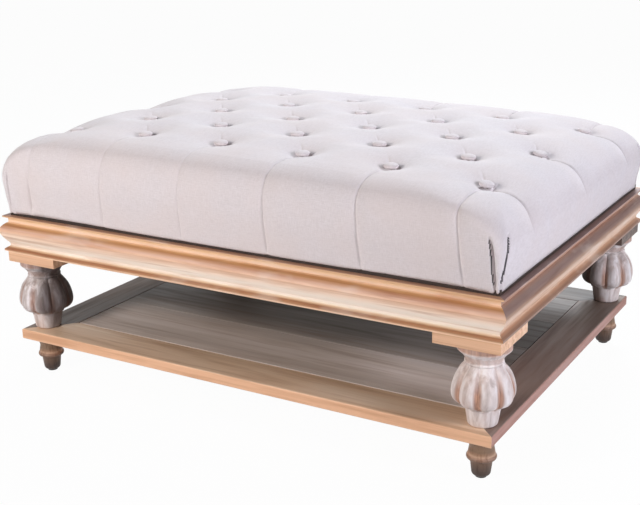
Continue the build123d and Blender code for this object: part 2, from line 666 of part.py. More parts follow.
def make_legs():
    one_leg, one_foot = leg(), foot()
    for name, (sx, sy) in CORNERS.items():
        place = Pos(sx * LEG_X, sy * LEG_Y, 0)
        save(f"leg_{name}", place * one_leg)
        save(f"foot_{name}", place * one_foot)
    glide = upright(GLIDE_RADIUS, 0, GLIDE_HEIGHT)
    save("foot_glides", *at_legs(glide))
    save("tie_rods", *tie_rods())
    bore = tie_rods(FIT)
    save("foot_inserts", *[bush - rod for bush, rod in zip(foot_inserts(), bore)])
    seat = RAIL_BOTTOM + BLOCK_HEIGHT
    washer = upright(WASHER_RADIUS, seat, seat + WASHER_THICKNESS)
    save("rod_washers", *[disc - rod for disc, rod in zip(at_legs(washer), bore)])
    low = seat + WASHER_THICKNESS
    hexagon = Pos(0, 0, low) * RegularPolygon(NUT_FLATS / 2, 6, major_radius=False)
    nut = extrude(hexagon, amount=NUT_HEIGHT, dir=(0, 0, 1))
    save("rod_nuts", *[body - rod for body, rod in zip(at_legs(nut), bore)])


# Cushion


def outline(inset, corner, level, bow):
    """A rounded rectangle with slightly bowed sides, drawn in by the inset."""
    hx, hy = CUSHION_X - inset, CUSHION_Y - inset
    ex, ey = hx - bow, hy - bow
    k = corner * (1 - sin(radians(45)))
    edges = []
    for sx, sy in ((-1, -1), (1, -1), (1, 1), (-1, 1)):
        across = ThreePointArc((sx * (ex - corner), sy * ey, level), (sx * (ex - k), sy * (ey - k), level),
                               (sx * ex, sy * (ey - corner), level))
        edges.append(across)
        if sx * sy < 0:
            edges.append(ThreePointArc((sx * ex, sy * (ey - corner), level), (sx * hx, 0, level),
                                       (sx * ex, -sy * (ey - corner), level)))
        else:
            edges.append(ThreePointArc((sx * (ex - corner), sy * ey, level), (0, sy * hy, level),
                                       (-sx * (ex - corner), sy * ey, level)))
    return make_face(edges)


def skin():
    """The cushion's side and crown as pairs of inset and level, from the base up."""
    return [(CUSHION_SHOULDER * i, DECK_TOP + CUSHION_HEIGHT * r)
            for r, i in zip(RISE_SHARES, INSET_SHARES)]


def crown(x, y):
    """Level of the plain crown over a place in plan."""
    inset = min(CUSHION_X - abs(x), CUSHION_Y - abs(y))
    top = [pair for pair in skin() if pair[1] >= DECK_TOP + CUSHION_HEIGHT * RISE_SHARES[2]]
    for (i0, z0), (i1, z1) in zip(top, top[1:]):
        if inset <= i1:
            return z0 + (z1 - z0) * (inset - i0) / (i1 - i0)
    return top[-1][1]


def tufts():
    """Rows of button places, staggered by half a pitch in every other row."""
    rows = []
    for row in range(TUFT_ROWS):
        count = TUFTS_IN_LONG_ROW - row % 2
        y = (row - (TUFT_ROWS - 1) / 2) * TUFT_PITCH_Y
        rows.append([((i - (count - 1) / 2) * TUFT_PITCH_X, y) for i in range(count)])
    return rows


def tuft_places():
    return [(x, y, crown(x, y) - TUFT_DROP) for row in tufts() for x, y in row]


def disc(x, y, z, radius):
    return Pos(x, y, z) * Face(Wire(Edge.make_circle(radius)))


def funnel(x, y, z):
    """The dimple that a button pulls into the crown."""
    seat = z - BUTTON_HEIGHT - FIT
    rings = [(seat, BUTTON_RADIUS + FIT), (z - BUTTON_RIM, BUTTON_RADIUS + FIT),
             (z + FUNNEL_WAIST_HEIGHT, FUNNEL_WAIST_RADIUS), (z + FUNNEL_HEIGHT, FUNNEL_RADIUS),
             (CUSHION_TOP + OVERRUN, FUNNEL_RADIUS)]
    return loft([disc(x, y, level, radius) for level, radius in rings], ruled=True)


def groove(stations, side):
    """A V-shaped groove through stations of (point, outward normal, depth, half width)."""
    t = Vector(*side)
    faces = []
    for point, normal, depth, half in stations:
        p, n = Vector(*point), Vector(*normal).normalized()
        rise = 2 * OVERRUN
        reach = half * (depth + rise) / depth
        faces.append(make_face(Polyline(p - n * depth, p + n * rise + t * reach, p + n * rise - t * reach,
                                        close=True)))
    return loft(faces, ruled=True)


def top_pleats():
    """Grooves along the diamonds, from each button to its neighbours in the next row."""
    pleats = []
    rows = tufts()
    for row, following in zip(rows, rows[1:]):
        for x0, y0 in row:
            for x1, y1 in following:
                if abs(abs(x1 - x0) - TUFT_PITCH_X / 2) > OVERRUN:
                    continue
                length = hypot(x1 - x0, y1 - y0)
                side = ((y1 - y0) / length, -(x1 - x0) / length, 0)
                xm, ym = (x0 + x1) / 2, (y0 + y1) / 2
                ends = TUFT_DROP - FUNNEL_WAIST_HEIGHT
                pleats.append(groove([
                    ((x0, y0, crown(x0, y0)), (0, 0, 1), ends, PLEAT_HALF_WIDTH),
                    ((xm, ym, crown(xm, ym)), (0, 0, 1), PLEAT_DEPTH, PLEAT_HALF_WIDTH),
                    ((x1, y1, crown(x1, y1)), (0, 0, 1), ends, PLEAT_HALF_WIDTH),
                ], side))
    return pleats


def side_stations(inset_from):
    """The skin from a button's inset out over the shoulder and down to the base, with its normals."""
    path = [pair for pair in skin() if pair[0] <= inset_from or pair[1] < DECK_TOP + CUSHION_HEIGHT / 2]
    path = path[::-1]
    stations = []
    for k, (inset, level) in enumerate(path):
        before, after = path[max(k - 1, 0)], path[min(k + 1, len(path) - 1)]
        run, fall = before[0] - after[0], before[1] - after[1]
        stations.append((inset, level, fall, run))
    last = stations[-1]
    stations[-1] = (last[0], last[1] - 2 * OVERRUN, last[2], last[3])
    return stations


def side_pleats():
    """Creases that run from the outer buttons over the shoulder and down the sides."""
    pleats = []
    rows = tufts()
    for x, y in rows[0] + rows[-1]:
        s = 1 if y > 0 else -1
        start = ((x, y, crown(x, y)), (0, 0, 1), TUFT_DROP - FUNNEL_WAIST_HEIGHT, PLEAT_HALF_WIDTH)
        bowed = CUSHION_Y - SIDE_BOW * (x / CUSHION_X) ** 2
        path = [((x, s * (bowed - i), z), (0, s * fall, run), SIDE_PLEAT_DEPTH, SIDE_PLEAT_HALF_WIDTH)
                for i, z, fall, run in side_stations(CUSHION_Y - abs(y) - FUNNEL_WAIST_RADIUS)]
        pleats.append(groove([start] + path, (1, 0, 0)))
    for row in rows[::2]:
        for x, y in (row[0], row[-1]):
            s = 1 if x > 0 else -1
            start = ((x, y, crown(x, y)), (0, 0, 1), TUFT_DROP - FUNNEL_WAIST_HEIGHT, PLEAT_HALF_WIDTH)
            bowed = CUSHION_X - SIDE_BOW * (y / CUSHION_Y) ** 2
            path = [((s * (bowed - i), y, z), (s * fall, 0, run), SIDE_PLEAT_DEPTH, SIDE_PLEAT_HALF_WIDTH)
                    for i, z, fall, run in side_stations(CUSHION_X - abs(x) - FUNNEL_WAIST_RADIUS)]
            pleats.append(groove([start] + path, (0, 1, 0)))
    return pleats


def corner_slits():
    """The two folds of the box pleat at each corner, closing towards the base."""
    slits = []
    base_inset = CUSHION_SHOULDER * INSET_SHARES[0]
    for sx, sy in CORNERS.values():
        x0, y0 = sx * (CUSHION_X - base_inset - SIDE_BOW), sy * (CUSHION_Y - base_inset - SIDE_BOW)
        x1, y1 = sx * (CUSHION_X - SIDE_BOW), sy * (CUSHION_Y - SIDE_BOW)
        low, high = DECK_TOP - OVERRUN, DECK_TOP + SLIT_HEIGHT
        radius = CUSHION_SHOULDER * CORNER_SHARES[1]
        for dx, dy in ((0, 1), (1, 0)):
            foot_at = (x0 - sx * radius * dy / 2, y0 - sy * radius * dx / 2, low)
            head_at = (x1 - sx * (radius + SLIT_SPREAD) * dy, y1 - sy * (radius + SLIT_SPREAD) * dx, high)
            normal = (sx * dx, sy * dy, 0)
            slits.append(groove([(foot_at, normal, SLIT_DEPTH, SLIT_HALF_WIDTH),
                                 (head_at, normal, SLIT_DEPTH / 2, SLIT_HALF_WIDTH / 2)],
                                (dy, dx, 0)))
    return slits


def twines(grow=0.0):
    """The twines that hold the buttons down, from shank to anchor."""
    low = BOARD_BOTTOM - FIT
    return [upright(TWINE_RADIUS + grow, low, z - BUTTON_HEIGHT, x, y) for x, y, z in tuft_places()]


def buttons():
    """Covered buttons: a flat back, a rim and a low dome."""
    cap = BUTTON_HEIGHT - BUTTON_RIM
    ball = (BUTTON_RADIUS ** 2 + cap ** 2) / (2 * cap)
    dome = Pos(0, 0, -ball) * Sphere(ball)
    button = dome & upright(BUTTON_RADIUS, -BUTTON_HEIGHT, OVERRUN)
    return [Pos(x, y, z) * button for x, y, z in tuft_places()]


def staples(grow=0.0):
    """Staples that hold the turned-in cover under the board."""
    line_x = HALF_LENGTH - CUSHION_INSET - COVER_TURN_IN / 2
    line_y = HALF_DEPTH - CUSHION_INSET - COVER_TURN_IN / 2
    half, wire = STAPLE_WIDTH / 2, STAPLE_WIRE / 2 + grow
    level = BOARD_BOTTOM - FIT
    crown_bar = block(-half - wire, half + wire, -wire, wire, level - STAPLE_WIRE - grow, level)
    leg_foot, leg_head = level - STAPLE_WIRE, level + STAPLE_LEG + grow
    legs = [block(s * half - wire, s * half + wire, -wire, wire, leg_foot, leg_head) for s in (-1, 1)]
    one = crown_bar + legs[0] + legs[1]
    places = [Pos(x, s * line_y, 0) for x in spread(line_x, STAPLE_PITCH) for s in (-1, 1)]
    places += [Pos(s * line_x, y, 0) * Rot(0, 0, 90) for y in spread(line_y, STAPLE_PITCH) for s in (-1, 1)]
    return [place * one for place in places]


def layer(half_x, half_y, low, high, round_off):
    """A slab with rounded upright corners and upper edges."""
    body = block(-half_x, half_x, -half_y, half_y, low, high)
    body = fillet(body.edges().filter_by(Axis.Z), round_off)
    return fillet(body.edges().group_by(Axis.Z)[-1], round_off / 2)


def cover():
    """Tufted cover and its wadding as one crowned shell, turned in under the board."""
    sections = [outline(inset, CUSHION_SHOULDER * c, level, SIDE_BOW)
                for (inset, level), c in zip(skin(), CORNER_SHARES)]
    body = loft(sections, ruled=True)
    for tools in ([funnel(*place) for place in tuft_places()], top_pleats(), side_pleats(), corner_slits()):
        body = cut(body, tools)
    half_x = HALF_LENGTH - CUSHION_INSET - COVER_WALL
    half_y = HALF_DEPTH - CUSHION_INSET - COVER_WALL
    cavity = layer(half_x, half_y, DECK_TOP + FABRIC, FOAM_TOP + FIT, FOAM_ROUND)
    mouth = block(COVER_TURN_IN - half_x, half_x - COVER_TURN_IN, COVER_TURN_IN - half_y,
                  half_y - COVER_TURN_IN, DECK_TOP - OVERRUN, DECK_TOP + FABRIC + OVERRUN)
    return cut(body - cavity - mouth, twines(FIT) + staples(FIT))


def make_cushion():
    half_x = HALF_LENGTH - CUSHION_INSET - COVER_WALL - FIT
    half_y = HALF_DEPTH - CUSHION_INSET - COVER_WALL - FIT
    board = block(-half_x, half_x, -half_y, half_y, BOARD_BOTTOM, BOARD_TOP)
    board = fillet(board.edges().filter_by(Axis.Z), FOAM_ROUND)
    save("cushion_board", cut(board, twines(FIT) + staples(FIT) + cushion_screws(FIT)))
    foam = layer(half_x, half_y, FOAM_BOTTOM, FOAM_TOP, FOAM_ROUND)
    save("foam_core", cut(foam, twines(FIT)))
    save("tufted_cover", cover())
    save("tuft_buttons", *buttons())
    save("tufting_twines", *twines())
    level = BOARD_BOTTOM - FIT
    save("twine_anchors", *[upright(ANCHOR_RADIUS, level - ANCHOR_THICKNESS, level, x, y)
                            for x, y, z in tuft_places()])
    save("cover_staples", *staples())


make_frame()
make_corners()
make_deck()
make_shelf()
make_legs()
make_cushion()
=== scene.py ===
from math import cos, pi, radians, sin, sqrt

import bmesh
import bpy
import numpy as np
from mathutils import Matrix, Vector


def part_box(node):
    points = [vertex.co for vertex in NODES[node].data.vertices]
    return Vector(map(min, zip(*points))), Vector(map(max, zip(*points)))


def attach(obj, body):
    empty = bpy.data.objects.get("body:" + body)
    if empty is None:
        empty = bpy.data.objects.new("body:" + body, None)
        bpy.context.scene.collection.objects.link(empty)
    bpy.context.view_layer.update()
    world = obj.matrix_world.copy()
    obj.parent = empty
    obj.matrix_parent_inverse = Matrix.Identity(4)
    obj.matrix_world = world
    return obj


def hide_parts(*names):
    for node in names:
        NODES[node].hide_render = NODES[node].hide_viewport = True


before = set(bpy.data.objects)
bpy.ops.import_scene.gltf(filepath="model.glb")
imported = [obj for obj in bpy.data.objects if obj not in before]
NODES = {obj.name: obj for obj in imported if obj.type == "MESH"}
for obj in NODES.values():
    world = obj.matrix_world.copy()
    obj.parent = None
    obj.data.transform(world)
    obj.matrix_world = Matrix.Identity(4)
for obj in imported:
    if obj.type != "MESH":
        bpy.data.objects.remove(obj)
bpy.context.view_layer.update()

bpy.context.scene.view_settings.view_transform = "Standard"
BODY = "root"

# Camera, solved from the photograph
IMAGE_SIZE = (640, 505)
CAMERA_PLACE = (1.15597, -2.01435, 0.96461)
CAMERA_YAW = -30.48954
CAMERA_PITCH = 17.46121
CAMERA_ROLL = 0.88834
FOCAL_PX = 1147.657
SENSOR_MM = 36.0

# Lamps: name, place, target, diameter, power and colour
LAMPS = (
    ("key", (-0.8, -2.4, 1.3), (0, -0.4, 0.38), 0.9, 41, (1.0, 0.955, 0.935)),
    ("top", (-0.2, 2.5, 2.8), (0, 0, 0.5), 1.4, 130, (0.88, 0.94, 1.0)),
    ("right", (2.9, -0.6, 1.3), (0.5, 0, 0.34), 0.7, 50, (0.88, 0.89, 1.0)),
)
WORLD_LIGHT = 0.05
FLOOR_HALF = 14.0
FLOOR_GLOW = 0.97

# Levels and plan of the CAD model, in metres
DECK_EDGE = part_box("deck_board")[1]
DECK_TOP = DECK_EDGE.z
COVER_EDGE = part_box("tufted_cover")[1]
RAIL_LOW, RAIL_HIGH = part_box("front_rail")
LEG_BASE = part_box("leg_front_right")[0].z
SHELF_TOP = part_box("shelf_border_front")[1].z


# Meshes


def new_mesh(name, verts, faces, smooth=True):
    mesh = bpy.data.meshes.new(name)
    mesh.from_pydata([tuple(v) for v in verts], [], [tuple(f) for f in faces])
    mesh.validate()
    mesh.update()
    obj = bpy.data.objects.new(name, mesh)
    bpy.context.scene.collection.objects.link(obj)
    if smooth:
        mesh.shade_smooth()
    return obj


def tube(base, rings, count):
    """Quads between successive closed rings of points, the first of which is number base."""
    faces = []
    for ring in range(rings - 1):
        low, high = base + ring * count, base + (ring + 1) * count
        for i in range(count):
            j = (i + 1) % count
            faces.append((low + i, low + j, high + j, high + i))
    return faces


def capped_tube(base, rings, count):
    """A tube with a face over its first ring and one over its last."""
    last = base + (rings - 1) * count
    caps = [tuple(range(base, base + count))[::-1], tuple(range(last, last + count))]
    return tube(base, rings, count) + caps


def vertex_rows(obj, key):
    """Three numbers for each vertex: its place where key is "co", or its normal where it is "normal"."""
    flat = np.empty(len(obj.data.vertices) * 3)
    obj.data.vertices.foreach_get(key, flat)
    return flat.reshape(-1, 3)


def set_places(obj, co):
    obj.data.vertices.foreach_set("co", np.asarray(co, float).ravel())
    obj.data.update()


def remesh(obj, voxel):
    """Rebuilds an object's mesh from even cells."""
    mod = obj.modifiers.new("remesh", "REMESH")
    mod.mode = "VOXEL"
    mod.voxel_size = voxel
    mod.use_smooth_shade = True
    dg = bpy.context.evaluated_depsgraph_get()
    mesh = bpy.data.meshes.new_from_object(obj.evaluated_get(dg))
    obj.modifiers.clear()
    old = obj.data
    obj.data = mesh
    bpy.data.meshes.remove(old)


# Materials

WHITE = (1, 1, 1)


class Nodes:
    """Shorthand for building a material's node tree."""

    def __init__(self, name):
        self.mat = bpy.data.materials.new(name)
        self.mat.use_nodes = True
        self.tree = self.mat.node_tree
        self.tree.nodes.clear()
        self.out = self.add("ShaderNodeOutputMaterial")
        self.bsdf = self.add("ShaderNodeBsdfPrincipled")
        self.link(self.bsdf.outputs[0], self.out.inputs["Surface"])

    def add(self, kind, **props):
        node = self.tree.nodes.new(kind)
        for key, value in props.items():
            setattr(node, key, value)
        return node

    def link(self, a, b):
        self.tree.links.new(a, b)

    def put(self, socket, value):
        if isinstance(value, bpy.types.NodeSocket):
            self.link(value, socket)
        else:
            socket.default_value = value

    def place(self):
        return self.add("ShaderNodeTexCoord").outputs["Object"]

    def split(self, vector):
        node = self.add("ShaderNodeSeparateXYZ")
        self.put(node.inputs[0], vector)
        return node.outputs

    def level(self):
        return self.split(self.place())[2]

    def scaled(self, vector, scale, offset=(0, 0, 0)):
        node = self.add("ShaderNodeMapping")
        self.put(node.inputs["Vector"], vector)
        node.inputs["Scale"].default_value = scale
        node.inputs["Location"].default_value = offset
        return node.outputs[0]

    def noise(self, vector, scale, detail, rough=0.55, distort=0.0):
        node = self.add("ShaderNodeTexNoise")
        self.put(node.inputs["Vector"], vector)
        node.inputs["Scale"].default_value = scale
        node.inputs["Detail"].default_value = detail
        node.inputs["Roughness"].default_value = rough
        node.inputs["Distortion"].default_value = distort
        return node.outputs["Fac"]

    def patches(self, scale, offset=(0, 0, 0), detail=3.0, rough=0.55, distort=0.0):
        """Noise over the object, with its own scale along each axis."""
        return self.noise(self.scaled(self.place(), scale, offset), 1.0, detail, rough, distort)

    def math(self, op, a, b=0.0, c=0.0):
        node = self.add("ShaderNodeMath", operation=op)
        for socket, value in zip(node.inputs, (a, b, c)):
            self.put(socket, value)
        return node.outputs[0]

    def times(self, a, b):
        return self.math("MULTIPLY", a, b)

    def mean(self, a, b, share):
        """The mean of two values, in which the first has this share."""
        return self.math("ADD", self.times(a, share), self.times(b, 1 - share))

    def ramp(self, fac, places, colours):
        node = self.add("ShaderNodeValToRGB")
        self.put(node.inputs[0], fac)
        elements = node.color_ramp.elements
        while len(elements) < len(places):
            elements.new(0.5)
        for element, place, colour in zip(elements, places, colours):
            element.position = place
            element.color = (*colour, 1.0)
        return node.outputs[0]

    def mix(self, fac, a, b, mode="MIX"):
        node = self.add("ShaderNodeMix", data_type="RGBA", blend_type=mode, clamp_factor=True)
        self.put(node.inputs[0], fac)
        for socket, colour in zip(node.inputs[6:8], (a, b)):
            self.put(socket, colour if isinstance(colour, bpy.types.NodeSocket) else (*colour, 1.0))
        return node.outputs[2]

    def tint(self, fac, colour, tone):
        """The colour multiplied by a tone, as far as fac says."""
        return self.mix(fac, colour, tone, "MULTIPLY")

    def span(self, value, low, high, to_low=0.0, to_high=1.0, smooth=False):
        node = self.add("ShaderNodeMapRange")
        node.interpolation_type = "SMOOTHSTEP" if smooth else "LINEAR"
        for socket, item in zip(node.inputs, (value, low, high, to_low, to_high)):
            self.put(socket, item)
        return node.outputs[0]

    def bump(self, height, strength, distance):
        node = self.add("ShaderNodeBump")
        node.inputs["Strength"].default_value = strength
        node.inputs["Distance"].default_value = distance
        self.put(node.inputs["Height"], height)
        return node.outputs[0]

    def finish(self, colour, rough, normal=None, **fixed):
        self.put(self.bsdf.inputs["Base Color"], colour)
        self.put(self.bsdf.inputs["Roughness"], rough)
        if normal is not None:
            self.link(normal, self.bsdf.inputs["Normal"])
        for key, value in fixed.items():
            self.bsdf.inputs[key.replace("_", " ")].default_value = value
        return self.mat


def srgb(r, g, b):
    """A colour read as 0-255 display values, in linear light."""
    out = []
    for c in (r, g, b):
        c = c / 255
        out.append(c / 12.92 if c <= 0.04045 else ((c + 0.055) / 1.055) ** 2.4)
    return tuple(out)


def srgbs(*colours):
    return [srgb(*colour) for colour in colours]


def grain(n, axis, along, across, shift=0.0):
    """Coarse and fine streaks that run along an axis of the object."""
    finer = 3.2
    scale = [across] * 3
    scale[axis] = along
    coarse = n.patches(scale, (shift, shift, shift), detail=5.0, rough=0.6, distort=0.6)
    fine = n.patches([s * finer for s in scale], rough=0.6)
    return coarse, fine


def lined(n, colour, streaks, places, tone, share):
    """The colour with darker lines of a tone, where the streaks are below the two places."""
    return n.tint(share, colour, n.ramp(streaks, places, (srgb(*tone), WHITE)))


def banded(n, bands, low, high, coarse, waver):
    """The colours of a table of levels, from low to high, wavering by so much with the grain."""
    level = n.math("MULTIPLY_ADD", coarse, waver, n.level())
    share = n.span(level, low + waver / 2, high + waver / 2)
    places = [(place - low) / (high - low) for place, *_ in bands]
    return n.ramp(share, places, srgbs(*(tone for _, *tone in bands)))


# Level and colour of the bands on the moulding, from its bottom edge up: a brown glaze in the recesses
# mixed with painted shade, painted shade on the lip's top by the cushion, and a painted highlight low on
# the belly
FRONT_BANDS = (
    (0.268, 246, 214, 184), (0.272, 240, 200, 164), (0.2745, 182, 130, 92), (0.278, 160, 112, 76),
    (0.280, 222, 188, 154), (0.282, 249, 234, 214), (0.286, 251, 236, 222), (0.290, 254, 243, 228),
    (0.295, 254, 242, 228), (0.300, 253, 234, 216), (0.305, 251, 224, 202), (0.311, 240, 204, 176),
    (0.315, 231, 189, 159), (0.318, 224, 182, 155), (0.321, 211, 168, 144), (0.324, 198, 150, 116),
    (0.327, 176, 126, 80), (0.3295, 202, 154, 106), (0.3315, 243, 206, 172), (0.334, 240, 205, 178),
    (0.339, 234, 196, 152), (0.344, 228, 184, 140), (0.346, 176, 132, 106),
)
# The ends' bands are a copy in painted shade: darker all over, darkest on the lip's top under the cushion
SHADED_SIDE_BANDS = (
    (0.268, 190, 160, 142), (0.273, 160, 130, 116), (0.276, 142, 110, 92), (0.278, 142, 104, 80),
    (0.281, 180, 140, 110), (0.285, 216, 180, 152), (0.296, 230, 195, 168), (0.306, 222, 188, 164),
    (0.313, 196, 164, 142), (0.317, 166, 135, 114), (0.320, 136, 106, 93), (0.324, 124, 95, 86),
    (0.328, 134, 105, 94), (0.330, 154, 122, 106), (0.332, 176, 138, 116), (0.340, 184, 147, 128),
    (0.344, 178, 142, 126), (0.346, 138, 110, 104),
)


def rail_wood(name, axis, bands):
    """Whitewashed moulding in bands: a brown glaze in the recesses, with painted shade and a painted
    highlight in the same bands.
    """
    n = Nodes(name)
    coarse, fine = grain(n, axis, along=1.3, across=30.0)
    colour = banded(n, bands, RAIL_LOW.z, RAIL_HIGH.z, coarse, waver=0.004)
    colour = lined(n, colour, coarse, (0.32, 0.47), (206, 176, 150), share=0.55)
    colour = lined(n, colour, fine, (0.32, 0.46), (186, 146, 114), share=0.40)
    stain = n.span(n.patches((5, 5, 26)), 0.54, 0.72, smooth=True)
    colour = n.tint(n.times(stain, 0.40), colour, srgb(206, 158, 128))
    pale = n.span(n.patches((7, 7, 24), (3, 1, 2)), 0.55, 0.70, smooth=True)
    colour = n.mix(n.times(pale, 0.22), colour, srgb(244, 234, 222))
    relief = n.bump(n.mean(coarse, fine, 0.6), strength=0.35, distance=0.0012)
    return n.finish(colour, n.span(fine, 0.3, 0.7, 0.62, 0.42), relief)


EDGE_FADE = 0.001


def board_wood(name, axis, tones, across=26.0, shift=0.0, edge=None, painted_shadow=None):
    """A glazed or bare board in three tones, the darkest first.

    edge is a level and the colour that shows below it. The last argument is two places along Y and a share:
    a painted shadow darkens the board from the first place on, to that share behind the second."""
    n = Nodes(name)
    coarse, fine = grain(n, axis, 1.4, across, shift)
    colour = n.ramp(coarse, (0.28, 0.5, 0.72), tones)
    rubbed = tones[-1]
    if edge is not None:
        level, rubbed = edge
        colour = n.mix(n.span(n.level(), level, level - EDGE_FADE), colour, rubbed)
    colour = lined(n, colour, fine, (0.32, 0.52), (206, 190, 176), share=0.6)
    cloud = n.patches((3.1, 3.1, 3.1), (shift, 0, 0))
    colour = n.mix(n.span(cloud, 0.35, 0.7, 0.0, 0.25), colour, rubbed)
    # Painted shadow: the board turns darker towards the back, where the frame above shades the shelf
    if painted_shadow is not None:
        front, back, share = painted_shadow
        y = n.split(n.place())[1]
        shaded = n.tint(1.0, colour, (share,) * 3)
        colour = n.mix(n.span(y, front, back, smooth=True), colour, shaded)
    relief = n.bump(n.mean(coarse, fine, 0.5), strength=0.3, distance=0.0012)
    return n.finish(colour, n.span(fine, 0.3, 0.7, 0.6, 0.4), relief)


# Carving of the bulb, levels of the leg's forms and of its painted shade and, along X from the middle of a
# left and of a right leg, from where to where its inner side turns dark with painted shade
LOBES = 8
LOBE_TURN = 11.0
BULB_LOW, BULB_FULL, BULB_HIGH = LEG_BASE + 0.038, LEG_BASE + 0.070, LEG_BASE + 0.106
NECK_LOW, NECK_HIGH = LEG_BASE + 0.120, LEG_BASE + 0.128
COLLAR_LOW, COLLAR_HIGH = LEG_BASE + 0.137, LEG_BASE + 0.141
SHADE_LOW, SHADE_HIGH = LEG_BASE + 0.034, LEG_BASE + 0.044
SHADED_SIDES = ((0.004, 0.036), (0.0, -0.034))


def band(n, z, low, high, soft):
    """1 between two levels, fading to 0 outside them."""
    return n.times(n.span(z, low - soft, low, smooth=True), n.span(z, high + soft, high, smooth=True))


def carved_grooves(n, dx, dy, z):
    """Up to 1 in the grooves between the bulb's lobes, fading towards its top."""
    turn = n.math("SUBTRACT", n.math("ARCTAN2", dy, dx), radians(LOBE_TURN - 90))
    groove = n.span(n.math("COSINE", n.times(turn, float(LOBES))), 0.15, 0.90, smooth=True)
    groove = n.times(groove, band(n, z, BULB_LOW, BULB_HIGH, soft=0.006))
    return n.times(groove, n.span(z, BULB_HIGH, BULB_FULL, 0.15, 1.0))


def leg_wood(name, centre, painted_shade):
    """Whitewash over brown wood: bare in the carved grooves and on the collar. The last argument is how far
    painted shade darkens it above its cone; a leg with any also gets painted shade on its inner side.
    """
    n = Nodes(name)
    x, y, z = n.split(n.place())
    dx, dy = n.math("SUBTRACT", x, centre[0]), n.math("SUBTRACT", y, centre[1])
    coarse, fine = grain(n, 2, along=9.0, across=70.0)
    wash = n.ramp(coarse, (0.30, 0.5, 0.7), srgbs((186, 170, 164), (224, 212, 207), (244, 238, 236)))
    brown = n.ramp(fine, (0.3, 0.7), srgbs((142, 92, 66), (200, 146, 114)))
    neck = band(n, z, NECK_LOW, NECK_HIGH, soft=0.003)
    collar = n.span(z, COLLAR_LOW, COLLAR_HIGH)
    worn = n.span(n.patches((44, 44, 20), detail=4.0), 0.50, 0.70, smooth=True)
    bare = n.times(carved_grooves(n, dx, dy, z), 0.85)
    for part, share in ((neck, 0.35), (collar, 0.75), (worn, 0.28)):
        bare = n.math("MAXIMUM", bare, n.times(part, share))
    colour = n.mix(bare, wash, brown)
    if painted_shade:
        # Painted shade: the leg above its cone drawn darker, as it lies in the frame's shadow
        shade_tones = n.ramp(coarse, (0.36, 0.52, 0.62), srgbs((72, 58, 56), (138, 126, 128), (226, 224, 230)))
        above = n.times(n.span(z, SHADE_LOW, SHADE_HIGH, smooth=True), painted_shade)
        colour = n.mix(above, colour, n.tint(0.5, shade_tones, colour))
        # Painted shade on the inner side, turned towards the dark under the frame
        inner = n.span(dx, *SHADED_SIDES[centre[0] > 0], smooth=True)
        colour = n.mix(inner, colour, n.tint(1.0, colour, (0.22, 0.20, 0.20)))
    return n.finish(colour, 0.6, n.bump(n.mean(coarse, fine, 0.5), strength=0.3, distance=0.001))


# Level and colour of the bands on the turned foot, from the floor up
FOOT_HEIGHT = 0.080
FOOT_BANDS = (
    (0.000, 66, 52, 46), (0.014, 74, 57, 48), (0.024, 96, 74, 60), (0.036, 122, 94, 76),
    (0.0415, 150, 118, 98), (0.045, 196, 160, 134), (0.049, 150, 116, 90), (0.054, 124, 98, 76),
    (0.064, 138, 110, 86), (0.074, 160, 124, 98),
)


def foot_wood(name):
    """Brown turned wood, light on its ring and nearly black at the toe."""
    n = Nodes(name)
    coarse, fine = grain(n, 2, along=12.0, across=70.0)
    colour = banded(n, FOOT_BANDS, 0.0, FOOT_HEIGHT, coarse, waver=0.003)
    colour = lined(n, colour, fine, (0.34, 0.50), (190, 168, 150), share=0.6)
    relief = n.bump(fine, strength=0.25, distance=0.001)
    return n.finish(colour, n.span(fine, 0.3, 0.7, 0.6, 0.45), relief)


def linen(name, shade=1.0):
    """Pale woven linen with slubs, faintly warmer in patches."""
    n = Nodes(name)
    warp = n.patches((90, 900, 900), detail=2.0, rough=0.6)
    weft = n.patches((900, 90, 120), detail=2.0, rough=0.6)
    threads = n.times(n.math("ADD", warp, weft), 0.5)
    tones = srgbs((211, 203, 204), (219, 211, 212), (225, 218, 220))
    colour = n.ramp(threads, (0.36, 0.5, 0.64), tones)
    colour = n.mix(n.span(n.patches((9, 9, 9)), 0.35, 0.65, 0.0, 0.3), colour, srgb(222, 206, 200))
    if shade < 1:
        colour = n.tint(1.0, colour, (shade,) * 3)
    slubs = n.noise(n.place(), 520.0, 2.0, 0.7)
    relief = n.bump(n.mean(threads, slubs, 0.7), strength=0.16, distance=0.0006)
    return n.finish(colour, 0.9, relief, Sheen_Weight=0.25, Sheen_Roughness=0.5, Specular_IOR_Level=0.2)


def plain(name, colour, rough, metallic=0.0):
    """A small hidden part: a fine mottled finish."""
    n = Nodes(name)
    speck = n.noise(n.place(), 260.0, 3.0)
    tone = n.mix(n.span(speck, 0.3, 0.7), tuple(0.82 * c for c in colour), colour)
    relief = n.bump(speck, strength=0.15, distance=0.0004)
    return n.finish(tone, n.span(speck, 0.3, 0.7, rough - 0.08, rough + 0.08), relief, Metallic=metallic)


# Cushion: places of the buttons

TUFT_PITCH = (0.181, 0.131)
TUFT_ROWS = 5
LONG_ROW = 6


def tuft_grid():
    """Places of the buttons in plan, row by row from the front."""
    places = []
    for row in range(TUFT_ROWS):
        count = LONG_ROW - row % 2
        y = (row - (TUFT_ROWS - 1) / 2) * TUFT_PITCH[1]
        places.append([((i - (count - 1) / 2) * TUFT_PITCH[0], y) for i in range(count)])
    return places


def tufts():
    """Places of all the buttons in one list."""
    return [place for row in tuft_grid() for place in row]


def diagonals():
    """Pairs of neighbouring buttons in successive rows."""
    rows = tuft_grid()
    return [(a, b) for row, following in zip(rows, rows[1:]) for a in row for b in following
            if abs(a[0] - b[0]) < TUFT_PITCH[0]]


# Cushion: its plain skin

